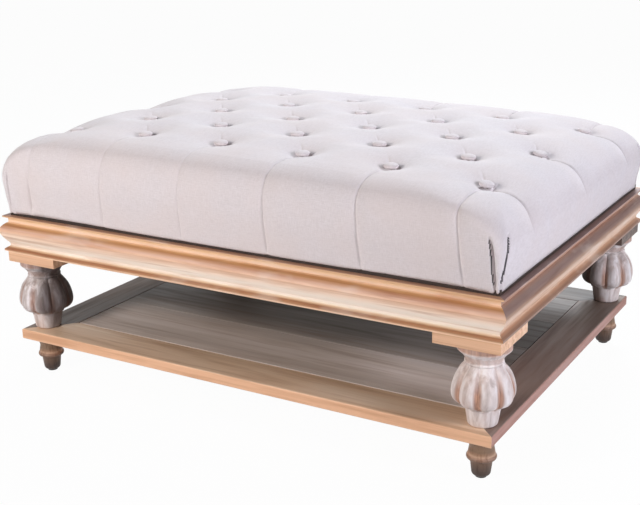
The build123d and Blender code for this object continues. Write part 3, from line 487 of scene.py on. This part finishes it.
# Level, inset along X, inset along Y and corner radius, base first
SKIN = np.array([
    (0.3553, 0.0102, 0.0102, 0.0066), (0.365, 0.0088, 0.0088, 0.0087), (0.380, 0.0062, 0.0062, 0.0118),
    (0.400, 0.0030, 0.0030, 0.0160), (0.415, 0.0008, 0.0008, 0.0185), (0.430, 0.0, 0.0, 0.0212),
    (0.440, 0.0018, 0.0002, 0.0240), (0.450, 0.0044, 0.0008, 0.0275), (0.462, 0.0096, 0.0024, 0.0327),
    (0.472, 0.0166, 0.0051, 0.0400), (0.480, 0.0232, 0.0084, 0.0473), (0.488, 0.0323, 0.0130, 0.0578),
    (0.495, 0.0444, 0.0192, 0.0714), (0.501, 0.0577, 0.0282, 0.0891), (0.506, 0.0722, 0.0390, 0.1048),
    (0.510, 0.0878, 0.0507, 0.1257), (0.514, 0.1142, 0.0750, 0.1571), (0.5175, 0.1434, 0.1065, 0.1884),
    (0.5205, 0.1857, 0.1490, 0.2094), (0.5225, 0.2220, 0.1900, 0.2000), (0.5240, 0.2831, 0.2697, 0.1300),
])

# Half sizes of the skin, which is fuller than the solid cover, and the bow of its sides
FULLER_X, FULLER_Y = 0.0035, 0.0065
HALF_X = COVER_EDGE.x + FULLER_X
HALF_Y = COVER_EDGE.y + FULLER_Y
SIDE_BOW = 0.0025
SIDE_STEPS = 70
CORNER_STEPS = 20
LEAST_STRAIGHT = 0.001

# How the stuffing has settled: the height and the half plan over which it sinks, and how far it does
# towards the right, the back and every corner
SETTLED_RISE = 0.16
SETTLED_X, SETTLED_Y = 0.54, 0.40
SINK_RIGHT, SINK_BACK, SINK_CORNERS = 0.0076, 0.0038, 0.0083


def outline(level, inset_x, inset_y, corner):
    """Points round a rounded rectangle with bowed sides."""
    hx, hy = HALF_X - inset_x, HALF_Y - inset_y
    corner = min(corner, hy - LEAST_STRAIGHT)
    out = []
    for k in range(4):
        reach, half = (hx, hy) if k % 2 == 0 else (hy, hx)
        local = []
        for t in np.linspace(-1, 1, SIDE_STEPS, endpoint=False):
            local.append((reach - SIDE_BOW * t * t, t * (half - corner)))
        for b in np.linspace(0, pi / 2, CORNER_STEPS, endpoint=False):
            share = b / (pi / 2)
            local.append((reach - SIDE_BOW * (1 - share) - corner * (1 - cos(b)),
                          half - SIDE_BOW * share - corner * (1 - sin(b))))
        turn = k * pi / 2
        out += [(x * cos(turn) - y * sin(turn), x * sin(turn) + y * cos(turn), level) for x, y in local]
    return out


def cushion_shell():
    """The plain, crowned cushion, closed below."""
    rings = [outline(*row) for row in SKIN]
    verts = [v for ring in rings for v in ring]
    return new_mesh("cushion", verts, capped_tube(0, len(rings), len(rings[0])))


def settled(co):
    """The stuffing is slightly uneven: the back right corner is lower, the front left one fuller."""
    rise = np.clip((co[:, 2] - DECK_TOP) / SETTLED_RISE, 0, 1)
    x, y = co[:, 0] / SETTLED_X, co[:, 1] / SETTLED_Y
    co = co.copy()
    co[:, 2] -= rise * (SINK_RIGHT * x + SINK_BACK * y + SINK_CORNERS * np.abs(x) ** 3 * np.abs(y) ** 3)
    return co


# Cushion: what its wells and folds share

# A distance beyond every fold
FAR = 1.0


def bell(d, width):
    return np.exp(-(d / width) ** 2)


def grooves(d, parts):
    """The sum of grooves at a distance d from one line, each a depth and a width."""
    return sum(depth * bell(d, width) for depth, width in parts)


def growing(value, start, length):
    """0 up to a start, growing to 1 over a length."""
    return np.clip((value - start) / length, 0, 1)


# Cushion: wells and folds of its crown

CROWN_START, CROWN_FADE = 0.445, 0.035

# Wells round the buttons: a funnel in a soft hollow, and a ring drawn in at the button's rim. Funnel and
# ring of the four corner buttons have only a share of their depth
FUNNEL_DEPTH, FUNNEL_WIDTH, FUNNEL_POWER = 0.0080, 0.0270, 2.2
HOLLOW_DEPTH, HOLLOW_WIDTH = 0.0108, 0.056
RIM_DEPTH, RIM_RADIUS, RIM_WIDTH = 0.0034, 0.0150, 0.0032
CORNER_SHARE = 0.75

# Valleys between the buttons, with what is added at their ends, and their share where they are in a well
VALLEY_DEPTH, VALLEY_END_DEPTH, VALLEY_END_RATE, VALLEY_WIDTH = 0.0026, 0.0046, 2.4, 0.028
VALLEY_IN_WELL = 0.3

# Fine folds along the valleys: short ones at every button and longer ones from it towards the back left
FOLD_WIDTH = 0.0022
SHORT_DEPTH, SHORT_START, SHORT_FADE = 0.0026, 0.012, 0.009
LONG_DEPTH, LONG_END_SHARE, LONG_FADE_SHARE = 0.0022, 0.38, 0.22


def segment(p, a, b):
    """Share along the segment a-b, and the distance from it, of each point in plan."""
    d = np.array(b) - np.array(a)
    t = ((p - np.array(a)) @ d) / (d @ d)
    near = np.array(a) + np.clip(t, 0, 1)[:, None] * d
    return t, np.hypot(*(p - near).T)


def wells(plan):
    """How deep the buttons draw in each point of the crown."""
    rows = tuft_grid()
    corners = [row[i] for row in (rows[0], rows[-1]) for i in (0, -1)]
    dip = np.zeros(len(plan))
    for x, y in tufts():
        d = np.hypot(plan[:, 0] - x, plan[:, 1] - y)
        share = CORNER_SHARE if (x, y) in corners else 1.0
        funnel = FUNNEL_DEPTH * share * np.exp(-(d / FUNNEL_WIDTH) ** FUNNEL_POWER)
        rim = RIM_DEPTH * share * bell(d - RIM_RADIUS, RIM_WIDTH)
        dip = np.maximum(dip, funnel + HOLLOW_DEPTH * bell(d, HOLLOW_WIDTH) + rim)
    return dip


def tufted(co):
    """How deep each point of the crown is drawn in by the buttons and the folds between them."""
    plan = co[:, :2]
    dip = wells(plan)
    valley = np.zeros(len(co))
    fold = np.zeros(len(co))
    for a, b in diagonals():
        t, d = segment(plan, a, b)
        length = sqrt((a[0] - b[0]) ** 2 + (a[1] - b[1]) ** 2)
        end = np.clip(np.minimum(t, 1 - t), 0, 1)
        depth = VALLEY_DEPTH + VALLEY_END_DEPTH * np.clip(1 - VALLEY_END_RATE * end, 0, 1)
        valley = np.maximum(valley, depth * bell(d, VALLEY_WIDTH))
        depth = SHORT_DEPTH * np.exp(-np.maximum(end * length - SHORT_START, 0) / SHORT_FADE)
        if b[0] < a[0]:
            long_fold = np.clip((LONG_END_SHARE - t) / LONG_FADE_SHARE, 0, 1) * (t > 0)
            depth = np.maximum(depth, LONG_DEPTH * long_fold)
        fold = np.maximum(fold, depth * bell(d, FOLD_WIDTH))
    both = np.maximum(dip, valley) + VALLEY_IN_WELL * np.minimum(dip, valley)
    return (both + fold) * growing(co[:, 2], CROWN_START, CROWN_FADE)


# Cushion: creases down its sides

# How strongly each crease of a long side shows, from left to right
CREASE_SHARES = (0.55, 0.7, 0.6, 1.0, 1.1, 1.15)

# Each crease is a sharp fold in a soft hollow: their depths and widths
FRONT_CREASE = ((0.0023, 0.0020), (0.0018, 0.014))
END_CREASE = ((0.0026, 0.0024), (0.0034, 0.024))
CREASE_START = 0.012
CREASE_FOOT, CREASE_FOOT_SHARE = 0.014, 0.3

# Those of the long sides lean outwards on their way down; those of the ends turn aside and fade out
FRONT_LEAN, FRONT_LEAN_HEIGHT, LEAN_TOP_SHARE, LEAN_RATE = 0.018, 0.12, 0.3, 3
END_LEAN, END_LEAN_LEVEL, END_LEAN_FADE = 0.010, 0.49, 0.05
END_LOW, END_FADE = 0.418, 0.03

# Left of this place along X a long side's crease opens into a slit: how strongly at each level
SLIT_X = -0.38
SLIT_LEVELS = (0.360, 0.372, 0.405, 0.430)
SLIT_SHARES = (0.5, 2.8, 2.2, 1.0)


def crease_lines(co):
    """Distance from the nearest crease of the long sides, its strength, and distance from the ends' one."""
    rows = tuft_grid()
    first_x, first_y = rows[0][0]
    drop = 1 - growing(co[:, 2], DECK_TOP, FRONT_LEAN_HEIGHT)
    lean = LEAN_TOP_SHARE + (1 - LEAN_TOP_SHARE) * np.clip(LEAN_RATE * drop, 0, 1) + drop ** 2
    inside = np.where(np.abs(co[:, 1]) > abs(first_y) + CREASE_START, 0, FAR)
    far, share = np.full(len(co), FAR), np.zeros(len(co))
    for (x, _), strength in zip(rows[0], CREASE_SHARES):
        d = np.abs(co[:, 0] - x - FRONT_LEAN * x * lean) + inside
        share = np.where(d < far, strength, share)
        far = np.minimum(far, d)
    aside = END_LEAN * np.clip((END_LEAN_LEVEL - co[:, 2]) / END_LEAN_FADE, 0, 1)
    inside = np.where(np.abs(co[:, 0]) > abs(first_x) + CREASE_START, 0, FAR)
    ends = np.full(len(co), FAR)
    for row in rows[::2]:
        y = row[0][1]
        ends = np.minimum(ends, np.abs(co[:, 1] - y - np.sign(y) * aside) + inside)
    return far, share, ends


def side_creases(co):
    far, share, ends = crease_lines(co)
    slit = np.where(co[:, 0] < SLIT_X, np.interp(co[:, 2], SLIT_LEVELS, SLIT_SHARES), 1.0)
    foot = np.clip((co[:, 2] - DECK_TOP) / CREASE_FOOT, CREASE_FOOT_SHARE, 1)
    front = share * slit * foot * grooves(far, FRONT_CREASE)
    return np.maximum(front, grooves(ends, END_CREASE) * growing(co[:, 2], END_LOW, END_FADE))


# Cushion: box pleats at its corners

# Two slits that lean apart on their way up. How far each gapes is given for the left and the right corners,
# the slit in the long side first. The other values are depths, widths and shares of the pleat's height
PLEAT_HEIGHT = 0.092
PLEAT_FOOT, PLEAT_SPREAD, PLEAT_POWER, PLEAT_MOST = 0.0030, 0.0148, 0.65, 1.2
PLEAT_REACH = 0.07
GAPES = {-1: (0.05, 0.10), 1: (0.34, 1.00)}
PLEAT_DEPTH, PLEAT_WIDTH, PLEAT_WIDER = 0.0190, 0.0013, 0.0012
PLEAT_TOP_FADE, PLEAT_TOP_POWER, PLEAT_FOOT_SHARE, PLEAT_FOOT_FADE = 0.22, 0.7, 0.25, 0.28
TONGUE_DEPTH, TONGUE_WIDTH, TONGUE_TOP, TONGUE_FOOT = 0.0024, 0.010, 1.1, 0.2

# The faces deep in a pleat: least gape, width, added width, and from where to where up the pleat
DEEP_GAPE, DEEP_WIDTH, DEEP_WIDER, DEEP_LOW, DEEP_HIGH = 0.3, 0.0012, 0.0006, 0.10, 0.93


def slit_distance(co):
    """Distance from the nearest slit of a box pleat, how far it gapes, and the share of its height."""
    rise = (co[:, 2] - DECK_TOP) / PLEAT_HEIGHT
    spread = PLEAT_FOOT + PLEAT_SPREAD * np.clip(rise, 0, PLEAT_MOST) ** PLEAT_POWER
    inset = np.interp(co[:, 2], SKIN[:, 0], SKIN[:, 1])
    best, gape = np.full(len(co), FAR), np.zeros(len(co))
    for sx in (-1, 1):
        for sy in (-1, 1):
            u, v = sx * co[:, 0] - HALF_X + inset, sy * co[:, 1] - HALF_Y + inset
            near = (u > -PLEAT_REACH) & (v > -PLEAT_REACH)
            across = (u - v) / sqrt(2)
            for side, opening in zip((-1, 1), GAPES[sx]):
                d = np.where(near, np.abs(across - side * spread), FAR)
                gape = np.where(d < best, opening, gape)
                best = np.minimum(best, d)
    return best, gape, rise


def corner_pleats(co):
    d, gape, rise = slit_distance(co)
    upper = np.clip((1 - rise) / PLEAT_TOP_FADE, 0, 1) ** PLEAT_TOP_POWER
    lower = np.clip(PLEAT_FOOT_SHARE + rise / PLEAT_FOOT_FADE, 0, 1)
    slit = PLEAT_DEPTH * np.sqrt(gape) * bell(d, PLEAT_WIDTH + PLEAT_WIDER * gape) * (upper * lower)
    middle = np.clip(TONGUE_TOP - rise, 0, 1) * np.clip(rise / TONGUE_FOOT, 0, 1)
    return slit + TONGUE_DEPTH * gape * bell(d, TONGUE_WIDTH) * middle


def line_folds(obj):
    """Gives the faces deep in the box pleats the second material, the fabric where no light reaches it."""
    centres = np.array([tuple(p.center) for p in obj.data.polygons])
    d, gape, rise = slit_distance(centres)
    inside = (gape > DEEP_GAPE) & (d < DEEP_WIDTH + DEEP_WIDER * gape)
    inside &= (rise > DEEP_LOW) & (rise < DEEP_HIGH)
    for polygon, painted_shade in zip(obj.data.polygons, inside):
        polygon.material_index = int(painted_shade)


# Cushion: putting it together

VOXEL = 0.005
REFINED_REACHES = (0.0075, 0.0045)
REFINED_ABOVE = 0.0015
BUTTON_REACH, PLEAT_MARGIN, PLEAT_ABOVE = 0.024, 0.003, 1.1
FOLDS_ABOVE, END_FOLDS_ABOVE = 0.44, 0.42
SEAT_REACH, SEAT_LEVEL = 0.012, 0.45
LOOSE_DEPTH, LOOSE_SCALE, LOOSE_SEED, LOOSE_WAVES = 0.0008, 0.035, 3, 10
LOOSE_START, LOOSE_FADE = 0.002, 0.03
DECK_GAP = 0.0002

# The hem hangs over the deck's edge: how far, how much farther at the corners, and below which height
HEM_DROP, HEM_CORNER_DROP, HEM_CORNER_WIDTH = 0.0042, 0.0042, 0.07
HEM_TOP, HEM_FADE, HEM_MARGIN = 0.018, 0.016, 0.0003


def overhang(co, plan):
    """How far each point hangs down over the edge of the deck, most at the corners; 0 above the deck."""
    past = np.maximum(np.abs(plan[:, 0]) - DECK_EDGE.x, np.abs(plan[:, 1]) - DECK_EDGE.y) > HEM_MARGIN
    corner = (bell(np.abs(co[:, 0]) - HALF_X, HEM_CORNER_WIDTH)
              * bell(np.abs(co[:, 1]) - HALF_Y, HEM_CORNER_WIDTH))
    low = np.clip((DECK_TOP + HEM_TOP - co[:, 2]) / HEM_FADE, 0, 1)
    return (HEM_DROP + HEM_CORNER_DROP * corner) * low * past


def loose_fabric(co):
    """Smooth random values in space, from sines of random directions."""
    rng = np.random.default_rng(LOOSE_SEED)
    total = np.zeros(len(co))
    for _ in range(LOOSE_WAVES):
        k = rng.normal(size=3) / LOOSE_SCALE
        total += np.sin(co @ k + rng.uniform(0, 2 * pi))
    return total / LOOSE_WAVES


def feature_distance(co):
    """Distance of each point from the nearest sharp fold or button."""
    plan, below = co[:, :2], np.where(co[:, 2] > FOLDS_ABOVE, 0, FAR)
    best = np.full(len(co), FAR)
    for a, b in diagonals():
        best = np.minimum(best, segment(plan, a, b)[1] + below)
    for x, y in tufts():
        d = np.hypot(plan[:, 0] - x, plan[:, 1] - y) - BUTTON_REACH
        best = np.minimum(best, np.maximum(d, 0) + below)
    far, _, ends = crease_lines(co)
    best = np.minimum(best, np.minimum(far, ends + np.where(co[:, 2] > END_FOLDS_ABOVE, 0, FAR)))
    d, _, rise = slit_distance(co)
    return np.minimum(best, np.maximum(d - PLEAT_MARGIN, 0) + np.where(rise < PLEAT_ABOVE, 0, FAR))


def refine(obj, reach):
    """Splits the faces that lie near a fold, so that it stays crisp."""
    bm = bmesh.new()
    bm.from_mesh(obj.data)
    bm.verts.ensure_lookup_table()
    close = feature_distance(vertex_rows(obj, "co")) < reach
    edges = [e for e in bm.edges if close[e.verts[0].index] and close[e.verts[1].index]
             and min(v.co.z for v in e.verts) > DECK_TOP + REFINED_ABOVE]
    bmesh.ops.subdivide_edges(bm, edges=edges, cuts=1, use_grid_fill=True)
    bm.to_mesh(obj.data)
    bm.free()
    obj.data.update()


def button_seats(body):
    """For each button, its place on the plain crown and the way it faces."""
    co, normal = vertex_rows(body, "co"), vertex_rows(body, "normal")
    seats = []
    for x, y in tufts():
        near = (np.hypot(co[:, 0] - x, co[:, 1] - y) < SEAT_REACH) & (co[:, 2] > SEAT_LEVEL)
        facing = Vector(normal[near].mean(0)).normalized()
        seats.append((Vector((x, y, float(co[near, 2].mean()))), facing))
    return seats


def make_cushion():
    """Returns the cushion and the seats of its buttons."""
    body = cushion_shell()
    remesh(body, VOXEL)
    set_places(body, settled(vertex_rows(body, "co")))
    seats = button_seats(body)
    for reach in REFINED_REACHES:
        refine(body, reach)
    co, normal = vertex_rows(body, "co"), vertex_rows(body, "normal")
    move = -(tufted(co) + side_creases(co) + corner_pleats(co))
    move += LOOSE_DEPTH * loose_fabric(co) * growing(co[:, 2], DECK_TOP + LOOSE_START, LOOSE_FADE)
    plan = co[:, :2]
    co = co + normal * move[:, None]
    co[:, 2] = np.maximum(co[:, 2], DECK_TOP + DECK_GAP) - overhang(co, plan)
    set_places(body, co)
    body.data.shade_smooth()
    return body, seats


# Buttons and their twines

BUTTON_SUNK = 0.0112
BUTTON_RADIUS = 0.0135
BUTTON_HEIGHT = 0.0046
BUTTON_RINGS = 7
BUTTON_SPOKES = 32

# The underside rolls in below the rim: shares of the radius, and depths
BUTTON_UNDERSIDE = ((1 / 9, 0.0062), (0.45, 0.0058), (0.80, 0.0042), (0.97, 0.0020), (1.0, 0.0))

TWINE_RADIUS = 0.0012
TWINE_PLY_SHARE = 0.22
TWINE_LAY = 0.010
TWINE_TURN_RINGS = 6
TWINE_SPOKES = 8
TWINE_END = 0.0175


def make_buttons(seats):
    """Covered buttons: domes whose rim rolls under, sunk along the way they face."""
    verts, faces = [], []
    profile = [(BUTTON_RADIUS * share, -depth) for share, depth in BUTTON_UNDERSIDE]
    for k in range(1, BUTTON_RINGS):
        a = k / BUTTON_RINGS * pi / 2
        profile.append((BUTTON_RADIUS * cos(a), BUTTON_HEIGHT * sin(a)))
    for place, facing in seats:
        turn = Vector((0, 0, 1)).rotation_difference(facing).to_matrix()
        origin = place - facing * BUTTON_SUNK
        base = len(verts)
        for r, h in profile:
            for s in range(BUTTON_SPOKES):
                a = 2 * pi * s / BUTTON_SPOKES
                verts.append(origin + turn @ Vector((r * cos(a), r * sin(a), h)))
        verts.append(origin + turn @ Vector((0, 0, BUTTON_HEIGHT)))
        faces += tube(base, len(profile), BUTTON_SPOKES)
        last, tip = base + (len(profile) - 1) * BUTTON_SPOKES, len(verts) - 1
        faces += [(last + s, last + (s + 1) % BUTTON_SPOKES, tip) for s in range(BUTTON_SPOKES)]
    return new_mesh("buttons", verts, faces)


def make_twines(seats):
    """Two-ply twines that run from the board up to the buttons."""
    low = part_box("tufting_twines")[0].z
    verts, faces = [], []
    for place, _ in seats:
        high = place.z - TWINE_END
        rings = int((high - low) / (TWINE_LAY / TWINE_TURN_RINGS)) + 1
        faces += capped_tube(len(verts), rings, TWINE_SPOKES)
        for z in np.linspace(low, high, rings):
            twist = 2 * pi * z / TWINE_LAY
            for s in range(TWINE_SPOKES):
                a = 2 * pi * s / TWINE_SPOKES
                r = TWINE_RADIUS * (1 - TWINE_PLY_SHARE + TWINE_PLY_SHARE * cos(2 * (a - twist)))
                verts.append((place.x + r * cos(a), place.y + r * sin(a), z))
    return new_mesh("twines", verts, faces)


# Camera, lights and stage


def add_camera():
    yaw, pitch, roll = map(radians, (CAMERA_YAW, CAMERA_PITCH, CAMERA_ROLL))
    forward = Vector((sin(yaw) * cos(pitch), cos(yaw) * cos(pitch), -sin(pitch)))
    right = Vector((cos(yaw), -sin(yaw), 0))
    down = forward.cross(right)
    side = cos(roll) * right + sin(roll) * down
    up = -(-sin(roll) * right + cos(roll) * down)
    data = bpy.data.cameras.new("camera")
    data.sensor_width = SENSOR_MM
    data.sensor_fit = "HORIZONTAL"
    data.lens = FOCAL_PX / IMAGE_SIZE[0] * SENSOR_MM
    cam = bpy.data.objects.new("camera", data)
    basis = Matrix((side, up, -forward)).transposed()
    cam.matrix_world = Matrix.Translation(CAMERA_PLACE) @ basis.to_4x4()
    bpy.context.scene.collection.objects.link(cam)
    bpy.context.scene.camera = cam


def add_area(name, place, target, size, power, colour):
    data = bpy.data.lights.new(name, "AREA")
    data.shape = "DISK"
    data.size = size
    data.energy = power
    data.color = colour
    lamp = bpy.data.objects.new(name, data)
    lamp.location = place
    lamp.rotation_euler = (Vector(target) - Vector(place)).to_track_quat("-Z", "Y").to_euler()
    bpy.context.scene.collection.objects.link(lamp)


def seen_directly(tree):
    """1 for rays that show the background itself or mirror it."""
    path = tree.nodes.new("ShaderNodeLightPath")
    total = path.outputs["Is Camera Ray"]
    for key in ("Is Glossy Ray", "Is Transmission Ray"):
        add = tree.nodes.new("ShaderNodeMath")
        add.operation = "ADD"
        add.use_clamp = True
        tree.links.new(total, add.inputs[0])
        tree.links.new(path.outputs[key], add.inputs[1])
        total = add.outputs[0]
    return total


def add_world():
    world = bpy.data.worlds.new("studio")
    bpy.context.scene.world = world
    world.use_nodes = True
    tree = world.node_tree
    tree.nodes.clear()
    out = tree.nodes.new("ShaderNodeOutputWorld")
    back = tree.nodes.new("ShaderNodeBackground")
    tree.links.new(back.outputs[0], out.inputs["Surface"])
    level = tree.nodes.new("ShaderNodeMapRange")
    tree.links.new(seen_directly(tree), level.inputs["Value"])
    level.inputs["To Min"].default_value = WORLD_LIGHT
    level.inputs["To Max"].default_value = 1.0
    tree.links.new(level.outputs[0], back.inputs["Strength"])
    back.inputs["Color"].default_value = (1, 1, 1, 1)


def add_floor():
    corners = [(x * FLOOR_HALF, y * FLOOR_HALF, 0) for x, y in ((-1, -1), (1, -1), (1, 1), (-1, 1))]
    floor = new_mesh("floor", corners, [(0, 1, 2, 3)], smooth=False)
    n = Nodes("floor")
    speck = n.noise(n.place(), 3.0, 2.0)
    n.finish(n.mix(speck, srgb(222, 222, 224), srgb(230, 230, 232)), 0.8)
    glow = n.add("ShaderNodeEmission")
    glow.inputs["Strength"].default_value = 1.0
    blend = n.add("ShaderNodeMixShader")
    n.link(n.times(seen_directly(n.tree), FLOOR_GLOW), blend.inputs[0])
    n.link(n.bsdf.outputs[0], blend.inputs[1])
    n.link(glow.outputs[0], blend.inputs[2])
    n.link(blend.outputs[0], n.out.inputs["Surface"])
    floor.data.materials.append(n.mat)


# Colours of the pieces

PAD_TONES = srgbs((196, 144, 106), (230, 182, 144), (246, 214, 184))
# The back right pad's tones are painted shade, a darkened copy of the others
SHADED_PAD_TONES = srgbs((62, 48, 44), (92, 74, 66), (124, 104, 94))
BARE_TONES = srgbs((150, 116, 80), (186, 150, 110), (206, 174, 134))
# The deck's tones are painted shade: nearly black, as its edge shows only in the shadow gap under the
# cushion
DECK_SHADE_TONES = srgbs((26, 16, 12), (42, 28, 22), (58, 42, 33))
DOWEL_TONES = srgbs((170, 136, 96), (200, 168, 124), (218, 190, 150))
PAD_GRAIN = 60

# How far painted shade darkens each leg
LEG_SHADES = {"front_left": 0.42, "front_right": 0.0, "back_left": 0.5, "back_right": 0.25}

# The shelf's borders: side, axis of the grain, tones and colour of the edge. The back and side borders'
# tones are darkened with painted shade from the frame above
SHADED_SIDE_TONES = srgbs((98, 84, 75), (121, 105, 94), (141, 127, 116))
BORDERS = (
    ("front", 0, srgbs((206, 172, 140), (226, 196, 166), (242, 220, 196)), srgb(238, 188, 150)),
    ("back", 0, srgbs((54, 47, 43), (70, 62, 57), (84, 76, 70)), srgb(190, 160, 142)),
    ("left", 1, SHADED_SIDE_TONES, srgb(196, 144, 118)),
    ("right", 1, SHADED_SIDE_TONES, srgb(176, 130, 118)),
)
EDGE_DROP = 0.0004

# The shelf's planks: tones, how light each plank is as painted shade from the frame above, and the painted
# shadow that darkens the shelf behind its front
PLANK_TONES = srgbs((182, 164, 152), (208, 192, 180), (226, 212, 204))
PLANK_SHADES = (1.0, 0.86, 0.42, 0.92)
PLANK_SHIFT = 1.7
PLANK_SHADOW = (-0.205, -0.075, 0.31)

BARE_NODES = (
    *(f"corner_block_{corner}" for corner in LEG_SHADES), "shelf_batten_1", "shelf_batten_2",
    "shelf_batten_3", "deck_bearer_left", "deck_bearer_right", "cushion_board",
)
DOWEL_NODES = ("frame_mitre_dowels", "shelf_mitre_dowels", "bearer_dowels")
STEEL_NODES = (
    "tie_rods", "rod_nuts", "rod_washers", "foot_inserts", "corner_block_screws", "corner_pad_screws",
    "deck_screws", "cushion_screws", "batten_screws", "cover_staples", "twine_anchors",
)


def dress(material, *nodes):
    for node in nodes:
        obj = NODES[node]
        obj.data.materials.clear()
        obj.data.materials.append(material)


def dress_rails():
    for node, axis, bands in (("front_rail", 0, FRONT_BANDS), ("back_rail", 0, FRONT_BANDS),
                              ("left_rail", 1, SHADED_SIDE_BANDS), ("right_rail", 1, SHADED_SIDE_BANDS)):
        dress(rail_wood(f"{node}_wood", axis, bands), node)


def dress_legs():
    pad = board_wood("pad_wood", 0, PAD_TONES, across=PAD_GRAIN)
    shaded = board_wood("shaded_pad_wood", 0, SHADED_PAD_TONES, across=PAD_GRAIN)
    foot = foot_wood("foot_wood")
    for corner, painted_shade in LEG_SHADES.items():
        low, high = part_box(f"leg_{corner}")
        # The back right pad gets the copy in painted shade
        dress(shaded if corner == "back_right" else pad, f"corner_pad_{corner}")
        dress(leg_wood(f"leg_{corner}_wood", (low + high) / 2, painted_shade), f"leg_{corner}")
        dress(foot, f"foot_{corner}")


def dress_shelf():
    for side, axis, tones, edge in BORDERS:
        node = f"shelf_border_{side}"
        dress(board_wood(f"{node}_wood", axis, tones, edge=(SHELF_TOP - EDGE_DROP, edge)), node)
    # Each plank's share and its darkening towards the back are painted shade from the frame above
    for i, share in enumerate(PLANK_SHADES, 1):
        node = f"shelf_plank_{i}"
        tones = [tuple(share * c for c in tone) for tone in PLANK_TONES]
        dress(board_wood(f"{node}_wood", 0, tones, shift=PLANK_SHIFT * i, painted_shadow=PLANK_SHADOW), node)


def dress_hidden():
    dress(board_wood("bare_wood", 2, BARE_TONES), *BARE_NODES)
    dress(board_wood("deck_wood", 0, DECK_SHADE_TONES), "deck_board")
    dress(board_wood("dowel_wood", 0, DOWEL_TONES), *DOWEL_NODES)
    dress(plain("zinc", (0.55, 0.55, 0.55), 0.35, 1.0), *STEEL_NODES)
    dress(plain("glide_plastic", srgb(66, 60, 55), 0.5), "foot_glides")


add_camera()
add_world()
for lamp in LAMPS:
    add_area(*lamp)
add_floor()
dress_rails()
dress_legs()
dress_shelf()
dress_hidden()

cloth = linen("linen")
cushion, seats = make_cushion()
cushion.data.materials.append(cloth)
cushion.data.materials.append(linen("linen_in_folds", 0.15))
line_folds(cushion)
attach(cushion, BODY)
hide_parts("tufted_cover", "foam_core")

buttons = make_buttons(seats)
buttons.data.materials.append(cloth)
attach(buttons, BODY)
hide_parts("tuft_buttons")

twines = make_twines(seats)
twines.data.materials.append(plain("twine", srgb(206, 196, 176), 0.9))
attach(twines, BODY)
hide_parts("tufting_twines")
